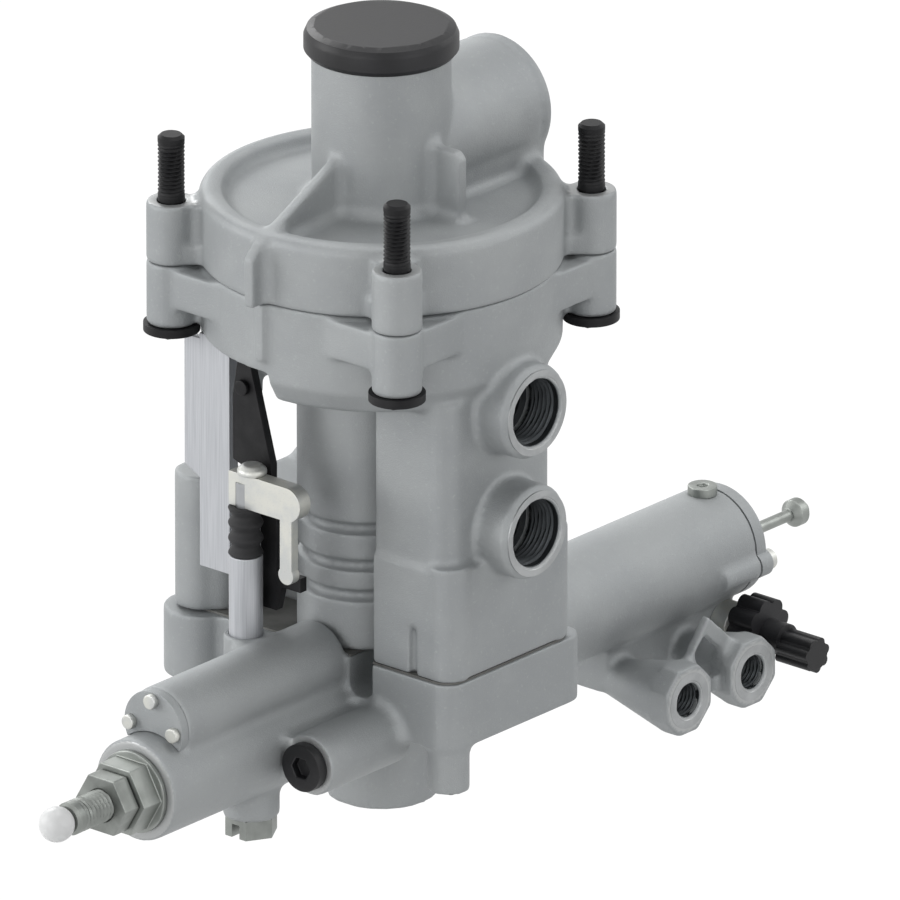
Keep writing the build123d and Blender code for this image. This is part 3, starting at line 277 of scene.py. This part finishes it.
ZINC = zinc_finish()
BLACK_STEEL = black_steel_finish()
RAIL = drawn_finish("drawn aluminium", (0.46, 0.47, 0.49, 1), (0.37, 0.38, 0.4, 1), 0.5)
SPRING = plain_metal("spring wire", (0.3, 0.3, 0.31, 1), (0.2, 0.2, 0.21, 1), 0.3)
BRIGHT = plain_metal("ground steel", (0.4, 0.41, 0.42, 1), (0.32, 0.33, 0.34, 1), 0.32)
BRASS = plain_metal("turned brass", (0.66, 0.48, 0.22, 1), (0.55, 0.38, 0.16, 1), 0.28)
ALUMINIUM = plain_metal("turned aluminium", (0.3, 0.315, 0.31, 1), (0.24, 0.25, 0.245, 1), 0.42)
FITTING = plain_metal("dull plated fitting", (0.29, 0.305, 0.29, 1), (0.19, 0.2, 0.19, 1), 0.4)
print("small parts' metals ready")

# %% [markdown]
# Moulded black plastic has a fine spark-eroded texture and a low sheen, rubber is duller and greyer, and
# the ball on the adjusting screw is milky plastic.


# %% Plastics, rubber and fibre
def moulded_finish(name, colour, shade, rough, grain):
    """A moulded surface between two tones, with a grain of so many bumps a metre."""
    f = Finish(name, Specular_IOR_Level=0.35)
    cloud = f.noise(70.0, 3.0)
    fine = f.noise(grain, 3.0)
    tone = f.blend(cloud.step(0.3, 0.7), colour, shade)
    f.feed(Base_Color=tone, Roughness=rough + 0.12 * cloud, Normal=f.bump(fine, 0.00006, 0.5))
    return f.material


BLACK_PLASTIC = moulded_finish(
    "moulded black plastic", (0.006, 0.006, 0.007, 1), (0.012, 0.012, 0.014, 1), 0.42, 1500.0
)
RUBBER = moulded_finish("black rubber", (0.018, 0.018, 0.019, 1), (0.03, 0.03, 0.032, 1), 0.62, 1100.0)
MILKY = moulded_finish("milky plastic", (0.86, 0.87, 0.87, 1), (0.93, 0.93, 0.93, 1), 0.3, 700.0)
FIBRE = moulded_finish("pressed fibre", (0.1, 0.1, 0.095, 1), (0.2, 0.2, 0.19, 1), 0.8, 500.0)
SLOT_FINISH = {
    "cast_body": CAST, "turned_aluminium": ALUMINIUM, "rail_aluminium": RAIL, "zinc_steel": ZINC,
    "bright_steel": BRIGHT, "spring_steel": SPRING, "black_steel": BLACK_STEEL, "brass_turned": BRASS,
    "black_plastic": BLACK_PLASTIC, "clear_plastic": MILKY, "gasket": FIBRE, "rubber": RUBBER,
}
print(len(bpy.data.materials), "materials")

# %% [markdown]
# Every node first gets the finish of its slot. Pieces that need a better shape are then made anew and stand
# for their node.


# %% Dress the solids
def dress(piece, material):
    piece.data.materials.clear()
    piece.data.materials.append(material)


FINISH_OF = {name: SLOT_FINISH[slot_of_node[name]] for name in frame["nodes"]}
PLATED = (
    "adjuster_bush", "lock_nut", "adjusting_screw", "drain_plug", "bleed_screw", "rail_screw", "test_pin",
)
for name in PLATED:
    FINISH_OF[name] = FITTING
FINISH_OF["lever_pin"] = BLACK_STEEL
for name, node in frame["nodes"].items():
    dress(node, FINISH_OF[name])


def mesh_piece(name, mesh, material, node, flex=None):
    """Puts a finished mesh into the scene, on the body of the node that it belongs to.

    A piece given a flex, the other body and two points, is put on no body and has its place baked into its
    mesh; the flex is not used further.
    """
    piece = bpy.data.objects.new(name, mesh)
    bpy.context.scene.collection.objects.link(piece)
    dress(piece, material)
    if flex:
        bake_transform(piece)
    else:
        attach(piece, body_of_node[node])
    return piece


def shade_smooth(mesh, sharp=None):
    """Shades a mesh smooth, apart from edges sharper than an angle in degrees."""
    mesh.polygons.foreach_set("use_smooth", np.ones(len(mesh.polygons), bool))
    if sharp is not None:
        mesh.set_sharp_from_angle(angle=math.radians(sharp))


def from_arrays(name, points, faces):
    """A mesh from an array of points, in metres, and an array of faces, shaded smooth."""
    mesh = bpy.data.meshes.new(name)
    mesh.from_pydata(points.tolist(), [], faces.tolist())
    shade_smooth(mesh)
    mesh.update()
    return mesh


print("solids dressed")

# %% [markdown]
# Pressed, turned and moulded parts have small broken edges, which catch a line of light. The node's
# triangles are welded, flat neighbours are merged into whole faces, and each sharp edge between them gets a
# narrow round.


# %% Broken edges
FLAT_ANGLE = 0.8
ROUND_ANGLE = 35
SMALL_PART_ANGLE = 38
WELD = 1e-6


def welded_copy(node):
    """A copy of a node's mesh with its loose triangles joined and nothing else kept."""
    source = frame["nodes"][node].data
    mesh = bpy.data.meshes.new(node + "_copy")
    mesh.from_pydata([v.co[:] for v in source.vertices], [], [p.vertices[:] for p in source.polygons])
    bm = bmesh.new()
    bm.from_mesh(mesh)
    bmesh.ops.remove_doubles(bm, verts=bm.verts, dist=WELD)
    bm.to_mesh(mesh)
    bm.free()
    return mesh


def softened(node, width):
    """The node's shape with a round of this width, in mm, on its sharp edges. It stands for the node."""
    mesh = welded_copy(node)
    bm = bmesh.new()
    bm.from_mesh(mesh)
    bmesh.ops.scale(bm, vec=(1 / MM,) * 3, verts=bm.verts)
    bmesh.ops.dissolve_limit(bm, angle_limit=math.radians(FLAT_ANGLE), verts=bm.verts, edges=bm.edges)
    limit = math.radians(ROUND_ANGLE)
    sharp = [e for e in bm.edges if len(e.link_faces) == 2 and e.calc_face_angle(0) > limit]
    bmesh.ops.bevel(bm, geom=sharp, offset=width, segments=2, profile=0.5, affect="EDGES",
                    clamp_overlap=True)
    bmesh.ops.triangulate(bm, faces=[face for face in bm.faces if len(face.verts) > 4])
    bmesh.ops.scale(bm, vec=(MM,) * 3, verts=bm.verts)
    bm.to_mesh(mesh)
    bm.free()
    shade_smooth(mesh, SMALL_PART_ANGLE)
    piece = mesh_piece(node + "_soft", mesh, FINISH_OF[node], node)
    even = piece.modifiers.new("even", "WEIGHTED_NORMAL")
    even.keep_sharp = True
    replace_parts(piece, node)
    return len(mesh.polygons)


# The width of each part's rounds, in mm
EDGE_ROUND = {
    "dust_cap": 0.8, "stud_nuts": 0.35, "side_plug": 0.4, "drain_plug": 0.5, "adjuster_bush": 0.6,
    "lock_nut": 0.5, "guide_rail": 0.4, "hanging_lever": 0.35, "cross_bracket": 0.6, "bracket_screw": 0.5,
    "plunger_bush": 0.5, "end_cap": 0.7, "end_cap_screws": 0.3, "base_screws": 0.35, "upper_plate": 0.35,
    "upper_plate_screws": 0.3, "test_coupling": 0.4, "test_caps": 0.8, "bleed_screw": 0.35,
    "rail_screw": 0.35, "lever_pin": 0.3, "test_pin": 0.35, "exhaust_screen": 0.2,
}
for name, width in EDGE_ROUND.items():
    count = softened(name, width)
    print(f"{name} {count} faces", end=", ")
print("edges broken")

# %% [markdown]
# A sand or die casting has no sharp corner. Outer edges are broken by blasting, and inner corners are
# filled by a generous radius that lets the metal flow. Instead of modelling each fillet, the welded copy of
# a casting is remeshed on a fine grid, blown out a little, remeshed and drawn back in: inner corners that
# are tighter than that distance fill up with a radius. A short smoothing then breaks the outer edges.
# Before that, each hidden cavity is shut by a plug, a short closed cylinder at its mouth.


# %% Casting skins
VOXEL = 0.75
BLAST_ROUNDS = 3
KEPT_SHARE = 0.6
FACE_NEAR = 0.3
FACE_ALIGNED = 0.9


def add_plug(mesh, start, end, radius):
    """Adds a closed cylinder between two points in mm, which shuts a hidden cavity for the remesh."""
    a, b = Vector(start) * MM, Vector(end) * MM
    turn = (b - a).to_track_quat("Z", "Y").to_matrix().to_4x4()
    bm = bmesh.new()
    bm.from_mesh(mesh)
    bmesh.ops.create_cone(bm, cap_ends=True, segments=32, radius1=radius * MM, radius2=radius * MM,
                          depth=(b - a).length, matrix=Matrix.Translation((a + b) / 2) @ turn)
    bm.to_mesh(mesh)
    bm.free()


def remesh(piece):
    mod = piece.modifiers.new("grid", "REMESH")
    mod.mode = "VOXEL"
    mod.voxel_size = VOXEL * MM
    mod.use_smooth_shade = True


def swell(piece, distance):
    """Moves the skin out along its normals, or in by a negative distance, in mm."""
    mod = piece.modifiers.new("swell", "DISPLACE")
    mod.strength = distance * MM
    mod.mid_level = 0.0


def convexity(mesh, rounds=3):
    """How far each vertex stands out: the mean over its edges of -normal . edge direction, then spread."""
    count = len(mesh.vertices)
    points = np.empty(count * 3)
    normals = np.empty(count * 3)
    ends = np.empty(len(mesh.edges) * 2, int)
    mesh.vertices.foreach_get("co", points)
    mesh.vertex_normals.foreach_get("vector", normals)
    mesh.edges.foreach_get("vertices", ends)
    points, normals, ends = points.reshape(-1, 3), normals.reshape(-1, 3), ends.reshape(-1, 2)
    first, second = ends.T
    way = points[second] - points[first]
    way /= np.linalg.norm(way, axis=1)[:, None] + 1e-12
    total = np.bincount(first, -(normals[first] * way).sum(1), count)
    total += np.bincount(second, (normals[second] * way).sum(1), count)
    degree = np.bincount(ends.ravel(), minlength=count)
    value = total / np.maximum(degree, 1)
    for _ in range(rounds):
        near = np.bincount(first, value[second], count) + np.bincount(second, value[first], count)
        value = 0.5 * value + 0.5 * near / np.maximum(degree, 1)
    return points, normals, value


def store(mesh, name, values):
    attribute = mesh.attributes.new(name, "FLOAT", "POINT")
    attribute.data.foreach_set("value", values.astype(np.float32))


def machined_share(points, normals, faces):
    """1 on the discs given as (centre in mm, outward axis, radius in mm), 0 elsewhere."""
    share = np.zeros(len(points))
    for centre, axis, radius in faces:
        offset = points / MM - np.array(centre)
        axis = np.array(axis, float)
        height = offset @ axis
        reach = np.linalg.norm(offset - height[:, None] * axis, axis=1)
        share[(abs(height) < FACE_NEAR) & (reach < radius) & (normals @ axis > FACE_ALIGNED)] = 1.0
    return share


def cast_skin(node, fillet, plugs, faces):
    """The soft-edged skin of a casting, which stands for its node.

    plugs are (start, end, radius) and faces (centre, outward axis, radius), all in mm.
    """
    mesh = welded_copy(node)
    for start, end, radius in plugs:
        add_plug(mesh, start, end, radius)
    rough = bpy.data.objects.new(node + "_rough", mesh)
    bpy.context.scene.collection.objects.link(rough)
    remesh(rough)
    swell(rough, fillet)
    remesh(rough)
    swell(rough, -fillet)
    smooth = rough.modifiers.new("blast", "SMOOTH")
    smooth.factor = 0.5
    smooth.iterations = BLAST_ROUNDS
    thin = rough.modifiers.new("thin", "DECIMATE")
    thin.ratio = KEPT_SHARE
    skin = bpy.data.meshes.new_from_object(rough.evaluated_get(bpy.context.evaluated_depsgraph_get()))
    bpy.data.objects.remove(rough)
    shade_smooth(skin)
    points, normals, wear_and_shade = convexity(skin)
    store(skin, "wear_and_shade", wear_and_shade)
    store(skin, "machined", machined_share(points, normals, faces))
    piece = mesh_piece(node + "_skin", skin, CAST, node)
    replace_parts(piece, node)
    print(node, len(skin.polygons), "faces, wear from", round(wear_and_shade.min(), 2), "to", round(wear_and_shade.max(), 2))


def spot(name):
    """A mount's place in mm."""
    return [v / MM for v in mount_of[name]["pos_m"]]


UP, DOWN, OUT_X, OUT_Y, LEFT = (0, 0, 1), (0, 0, -1), (1, 0, 0), (0, 1, 0), (0, -1, 0)
LARGE_PORTS = [spot("supply_port"), spot("delivery_port")]
SMALL_PORTS = [spot("bellows_port_1"), spot("bellows_port_2")]
PILOT_PORT = spot("pilot_port")
PILOT_Z = PILOT_PORT[2]
STUDS = mount_of["mounting_studs"]["dims"]
EAR_X, EAR_Y = STUDS["spacing_x_mm"] / 2, STUDS["spacing_y_mm"] / 2
EARS = [(x, y) for x in (-EAR_X, EAR_X) for y in (-EAR_Y, EAR_Y)]
EAR_TOP = spot("mounting_studs")[2]

# Axes of the cavities that no mount names, and faces of the castings, in mm
CONTROL_Z = 33.2
FILTER_Z = 51.5
TAPPET_Y = -20.2
GALLERY_X, GALLERY_Y, GALLERY_Z = 23.4, -60, 32
JOINT_Z = 169
COLUMN_LOW = 53.2
LOBE_END = -110
CYLINDER_END = 150.5

cast_skin(
    "main_body", 0.7,
    plugs=[
        ((0, 0, JOINT_Z - 5), (0, 0, JOINT_Z), 48.5),
        ((0, 0, COLUMN_LOW), (0, 0, 60), 8.0),
        ((0, TAPPET_Y, COLUMN_LOW), (0, TAPPET_Y, 60), 4.0),
        *(((26, y, z), (34, y, z), 8.0) for _, y, z in LARGE_PORTS),
    ],
    faces=[(place, OUT_X, 13.6) for place in LARGE_PORTS],
)
cast_skin(
    "top_cover", 1.6,
    plugs=[
        ((0, 0, JOINT_Z - 0.2), (0, 0, JOINT_Z + 5), 44.0),
        ((0, 0, 230), (0, 0, 235), 16.0),
        ((0, 30, PILOT_Z), (0, 34, PILOT_Z), 6.0),
    ],
    faces=[((x, y, EAR_TOP), UP, 8.0) for x, y in EARS] + [(PILOT_PORT, OUT_Y, 19.0)],
)
cast_skin(
    "base_housing", 1.6,
    plugs=[
        ((0, 28, CONTROL_Z), (0, 33.3, CONTROL_Z), 12.0),
        ((0, LOBE_END + 1, CONTROL_Z), (0, LOBE_END + 6, CONTROL_Z), 12.0),
        ((0, -98, FILTER_Z), (0, -94, FILTER_Z), 6.5),
        ((0, 0, 9.5), (0, 0, 16), 7.0),
        ((0, 0, 48), (0, 0, COLUMN_LOW + 0.4), 7.0),
        ((0, TAPPET_Y, 48), (0, TAPPET_Y, COLUMN_LOW + 0.4), 4.0),
        ((GALLERY_X, GALLERY_Y + 5, GALLERY_Z), (GALLERY_X, GALLERY_Y + 10, GALLERY_Z), 5.0),
    ],
    faces=[
        ((0, 0, 0), DOWN, 16.0),
        ((0, LOBE_END, CONTROL_Z), LEFT, 15.0),
        ((GALLERY_X, GALLERY_Y, GALLERY_Z), LEFT, 9.0),
    ],
)
cast_skin(
    "control_cylinder", 0.9,
    plugs=[
        ((0, 33, CONTROL_Z), (0, 36, CONTROL_Z), 6.5),
        ((0, CYLINDER_END - 6.5, CONTROL_Z), (0, CYLINDER_END, CONTROL_Z), 14.0),
        *(((12, y, z), (16, y, z), 4.5) for _, y, z in SMALL_PORTS),
    ],
    faces=[(place, OUT_X, 9.6) for place in SMALL_PORTS],
)

# %% [markdown]
# Threads are turned: a profile of radius and height goes round an axis, and along a threaded stretch the
# radius also falls and rises once per pitch of height, shifted by the angle. That shift makes it a helix.


# %% Turned and threaded pieces
ROWS_PER_TURN = 8
THREAD_ANGLE = 36
BORE_BELOW = -0.4
FINE_PITCH = 1.5
COARSE_PITCH = 1.25


def along(place, axis):
    """A matrix whose Z axis runs along an axis from a place in mm."""
    return Matrix.Translation(Vector(place)) @ Vector(axis).to_track_quat("Z", "Y").to_matrix().to_4x4()


def stretch(radius, start, end, depth, pitch):
    """Profile rows of a threaded length between two heights. The thread fades out at both ends."""
    count = max(2, int(abs(end - start) / pitch * ROWS_PER_TURN))
    fade = np.clip(3 - abs(np.linspace(-3.4, 3.4, count)), 0, 1)
    return [(radius, h, depth * share) for h, share in zip(np.linspace(start, end, count), fade)]


def turned_mesh(name, solids, segments, pitch=FINE_PITCH):
    """One mesh of turned solids, each a pair of its matrix and its closed profile in mm.

    A row of the profile is (radius, height, depth of the thread).
    r(h, a) = radius - depth * |2 frac(h / pitch - a / 2 pi) - 1|
    """
    points, faces, reach, bore, base = [], [], [], [], 0
    angle = np.linspace(0, 2 * math.pi, segments, endpoint=False)
    for matrix, rows in solids:
        radius, height, depth = np.array(rows, float).T[:, :, None]
        wave = abs(2 * ((height / pitch - angle / (2 * math.pi)) % 1.0) - 1)
        r = radius - depth * wave
        local = np.stack([r * np.cos(angle), r * np.sin(angle), height + 0 * angle], -1).reshape(-1, 3)
        m = np.array(matrix)
        points.append((local @ m[:3, :3].T + m[:3, 3]) * MM)
        row, column = np.meshgrid(np.arange(len(rows)), np.arange(segments), indexing="ij")
        next_row, next_column = (row + 1) % len(rows), (column + 1) % segments
        corners = [(row, column), (row, next_column), (next_row, next_column), (next_row, column)]
        faces.append(np.stack([base + a * segments + b for a, b in corners], -1).reshape(-1, 4))
        reach.append(r.ravel())
        bore.append((local[:, 2] < BORE_BELOW).astype(float))
        base += len(local)
    mesh = from_arrays(name, np.concatenate(points), np.concatenate(faces))
    store(mesh, "reach", np.concatenate(reach))
    store(mesh, "bore", np.concatenate(bore))
    bm = bmesh.new()
    bm.from_mesh(mesh)
    bmesh.ops.remove_doubles(bm, verts=bm.verts, dist=1e-7)
    bmesh.ops.recalc_face_normals(bm, faces=bm.faces)
    bm.to_mesh(mesh)
    bm.free()
    mesh.set_sharp_from_angle(angle=math.radians(THREAD_ANGLE))
    return mesh


def tapped_port(name, rim, floor, pitch, depth):
    """A machined face with a chamfer, a threaded bore and its floor, let into the casting at a mount."""
    mount = mount_of[name]
    r, deep = mount["dims"]["r_mm"], mount["dims"]["length_mm"]
    proud, wall, sleeve = 0.06, r - 0.05, r + 0.5
    shelf, back = 1.3 - deep, -0.6 - deep
    rows = [(rim, proud, 0), (r + 0.9, proud, 0), (wall, -0.85, 0)]
    rows += stretch(wall, -1.0, shelf + 0.1, depth, pitch)
    rows += [(wall, shelf, 0), (floor, shelf, 0), (floor, back, 0), (sleeve, back, 0)]
    rows += [(sleeve, -2.0, 0), (rim, -0.8, 0)]
    place = along(Vector(mount["pos_m"]) / MM, mount["axis"])
    return turned_mesh(name + "_thread", [(place, rows)], 96, pitch)


# Each port's casting, the radii of its face and of the hole in its floor, and its thread's pitch and depth
PORTS = {
    "supply_port": ("main_body", 13.0, 7.0, FINE_PITCH, 0.8),
    "delivery_port": ("main_body", 13.0, 7.0, FINE_PITCH, 0.8),
    "pilot_port": ("top_cover", 15.0, 4.5, FINE_PITCH, 0.8),
    "exhaust_port": ("base_housing", 14.6, 8.1, FINE_PITCH, 0.8),
    "bellows_port_1": ("control_cylinder", 8.6, 3.5, COARSE_PITCH, 0.6),
    "bellows_port_2": ("control_cylinder", 8.6, 3.5, COARSE_PITCH, 0.6),
}
for name, (casting, rim, floor, pitch, depth) in PORTS.items():
    mesh_piece(name + "_thread", tapped_port(name, rim, floor, pitch, depth), TAPPED, casting)


def threaded_studs():
    """The four studs: a plain waist in the ears and a coarse thread on the free end."""
    low, high = (corner.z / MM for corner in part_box("mounting_studs"))
    waist, crest, tip, depth = 3.6, STUDS["stud_r_mm"], 0.9, 0.65
    rows = [(0, low, 0), (waist - 0.8, low, 0), (waist, low + 0.8, 0)]
    rows += [(waist, EAR_TOP, 0), (crest, EAR_TOP, 0)]
    rows += stretch(crest, EAR_TOP + 0.4, high - tip, depth, COARSE_PITCH)
    rows += [(crest - tip, high, 0), (0, high, 0)]
    places = [along((x, y, 0), UP) for x, y in EARS]
    return turned_mesh("threaded_studs", [(place, rows) for place in places], 48, COARSE_PITCH)


def threaded_adjuster():
    """The adjusting screw, threaded up to the spring seat at its inner end."""
    low, high = (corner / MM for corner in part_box("adjusting_screw"))
    middle = (low + high) / 2
    length = high.y - low.y
    crest, seat, tip, depth = 5.0, (high.x - low.x) / 2, 0.9, 0.8
    shank = length - 3.0
    rows = [(0, 0, 0), (crest - tip, 0, 0), (crest, tip, 0)]
    rows += stretch(crest, 1.0, shank - 1, depth, FINE_PITCH)
    rows += [(crest, shank, 0), (seat, shank, 0), (seat, length, 0), (0, length, 0)]
    return turned_mesh("threaded_adjuster", [(along((middle.x, low.y, middle.z), OUT_Y), rows)], 64)


def bellows_boot():
    """The rubber boot with three soft folds and a plain collar at each end.

    r(t) = R - d (1 - cos(6 pi t)), with t from 0 to 1 between the collars
    """
    low, high = (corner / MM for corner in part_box("plunger_boot"))
    middle, outer = (low + high) / 2, (high.x - low.x) / 2
    inner, fold, collar = 3.35, 0.55, 0.4
    rows = [(inner, low.z, 0), (outer - 0.5, low.z, 0)]
    for t in np.linspace(0, 1, 37):
        r = outer - fold * (1 - math.cos(6 * math.pi * t))
        rows.append((r, low.z + collar + t * (high.z - low.z - 2 * collar), 0))
    rows += [(outer - 0.5, high.z, 0), (inner, high.z, 0)]
    return turned_mesh("bellows_boot", [(along((middle.x, middle.y, 0), UP), rows)], 48)


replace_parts(mesh_piece("threaded_studs", threaded_studs(), BLACK_STEEL, "mounting_studs"), "mounting_studs")
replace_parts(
    mesh_piece("threaded_adjuster", threaded_adjuster(), FITTING, "adjusting_screw"), "adjusting_screw"
)
print("threads cut")

# %% [markdown]
# The boot and the springs reach from the body to a part that slides. For each, the other body and the two
# ends of its span are worked out, but they are not used: the piece is only placed, on no body, and does not
# stretch.


# %% Boot and springs
def between_bodies(node, other, axis):
    """The flex of a node along an axis of the frame: from its lowest to its highest point there."""
    low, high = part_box(node)
    start, end = (low + high) / 2, (low + high) / 2
    start[axis], end[axis] = low[axis], high[axis]
    return other, start, end


ALONG_Y, ALONG_Z = 1, 2
SPRING_ANGLE = 40
SPRINGS = {
    "control_spring": ("control", ALONG_Y), "test_spring": ("test_pin", ALONG_Y),
    "valve_spring": ("inlet", ALONG_Z),
}
flex = between_bodies("plunger_boot", "bracket", ALONG_Z)
boot = mesh_piece("bellows_boot", bellows_boot(), RUBBER, "plunger_boot", flex)
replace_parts(boot, "plunger_boot")
for node, (other, axis) in SPRINGS.items():
    mesh = welded_copy(node)
    shade_smooth(mesh, SPRING_ANGLE)
    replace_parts(mesh_piece(node + "_flexing", mesh, SPRING, node, between_bodies(node, other, axis)), node)

# %% [markdown]
# The camera stands where the photograph's did, far away behind a long lens, so that the view is nearly
# without perspective. The floor is white and so is what the camera sees behind it. Six large soft lamps
# stand round the object as in a product picture. The strongest ones are on its left, where the photograph
# has its bright faces.


# %% Camera, floor and light
AZIMUTH = math.radians(40.7)
ELEVATION = math.radians(21.4)
LENS = 1300.0
SENSOR = 36.0
FRAME_WIDTH = 0.2647
CENTRE_RIGHT, CENTRE_UP = 0.0200, 0.0997
level = math.cos(ELEVATION)
back = Vector((math.sin(AZIMUTH) * level, -math.cos(AZIMUTH) * level, math.sin(ELEVATION)))
right = Vector((math.cos(AZIMUTH), math.sin(AZIMUTH), 0))
up = back.cross(right)
distance = FRAME_WIDTH * LENS / SENSOR
target = right * CENTRE_RIGHT + up * CENTRE_UP
camera = bpy.data.objects.new("camera", bpy.data.cameras.new("camera"))
bpy.context.scene.collection.objects.link(camera)
camera.data.lens = LENS
camera.data.clip_end = 50.0
camera.location = target + back * distance
camera.rotation_mode = "QUATERNION"
camera.rotation_quaternion = (-back).to_track_quat("-Z", "Y")
bpy.context.scene.camera = camera

FLOOR_GAP = 0.0005
FLOOR_REACH = 3.0
FLOOR_GLOW = 1.07
FLOOR_WHITE = 0.95
BACKDROP_LIGHT = 0.03


def background_share(f):
    """1 for the rays that see the background itself: camera, glossy and transmission rays."""
    path = f.tree.nodes.new("ShaderNodeLightPath")
    rays = [Wire(f, path.outputs[n]) for n in ("Is Camera Ray", "Is Glossy Ray", "Is Transmission Ray")]
    return (rays[0] + rays[1] + rays[2]).clamped()


def floor_finish():
    """White to the camera, with a trace of shadow, and a dimmer grey in what it gives the object."""
    f = Finish("pale floor", Roughness=0.9)
    f.shader.inputs["Base Color"].default_value = (0.6, 0.6, 0.6, 1)
    white = f.node("ShaderNodeEmission", {}, {"Color": (1, 1, 1, 1), "Strength": FLOOR_GLOW})
    shown = Wire(f, f.shader.outputs[0])
    both = f.node("ShaderNodeMixShader", {}, {0: background_share(f) * FLOOR_WHITE, 1: shown, 2: white})
    f.tree.links.new(both.socket, f.tree.nodes["Material Output"].inputs["Surface"])
    return f.material


corners = np.array([(-1, -1), (1, -1), (1, 1), (-1, 1)]) * FLOOR_REACH
floor_points = np.column_stack([corners, np.full(4, cad_low.z - FLOOR_GAP)])
floor = bpy.data.objects.new("floor", from_arrays("floor", floor_points, np.array([[0, 1, 2, 3]])))
bpy.context.scene.collection.objects.link(floor)
dress(floor, floor_finish())

LAMP_SIZE = 0.75
AIM = Vector((0, 0, 0.11))


def lamp(name, place, power):
    """A large soft lamp, turned to the middle of the object."""
    data = bpy.data.lights.new(name, "AREA")
    data.size = LAMP_SIZE
    data.energy = power
    made = bpy.data.objects.new(name, data)
    made.location = place
    made.rotation_mode = "QUATERNION"
    made.rotation_quaternion = (Vector(place) - AIM).to_track_quat("Z", "Y")
    bpy.context.scene.collection.objects.link(made)


# Each lamp's place in metres and its power in watts
STUDIO = {
    "left": ((-1.0, -0.9, 0.45), 8.6),
    "front": ((0.2, -1.35, 0.4), 5.2),
    "right": ((1.35, -0.1, 0.45), 4.2),
    "top": ((0.1, 0.2, 1.6), 6.5),
    "back left": ((-1.2, 0.5, 0.9), 9.5),
    "back right": ((0.6, 1.2, 0.8), 5.0),
}
for name, (place, power) in STUDIO.items():
    lamp(name + " lamp", place, power)


class Backdrop(Finish):
    """The world's own graph: white behind the object, dimmer as a light on it."""

    def __init__(self, light):
        world = bpy.data.worlds.new("studio")
        world.use_nodes = True
        bpy.context.scene.world = world
        self.tree = world.node_tree
        background = self.tree.nodes["Background"]
        strength = light + (1.0 - light) * background_share(self)
        self.tree.links.new(strength.socket, background.inputs["Strength"])
        background.inputs["Color"].default_value = (1, 1, 1, 1)


Backdrop(BACKDROP_LIGHT)
bpy.context.scene.view_settings.view_transform = "Standard"
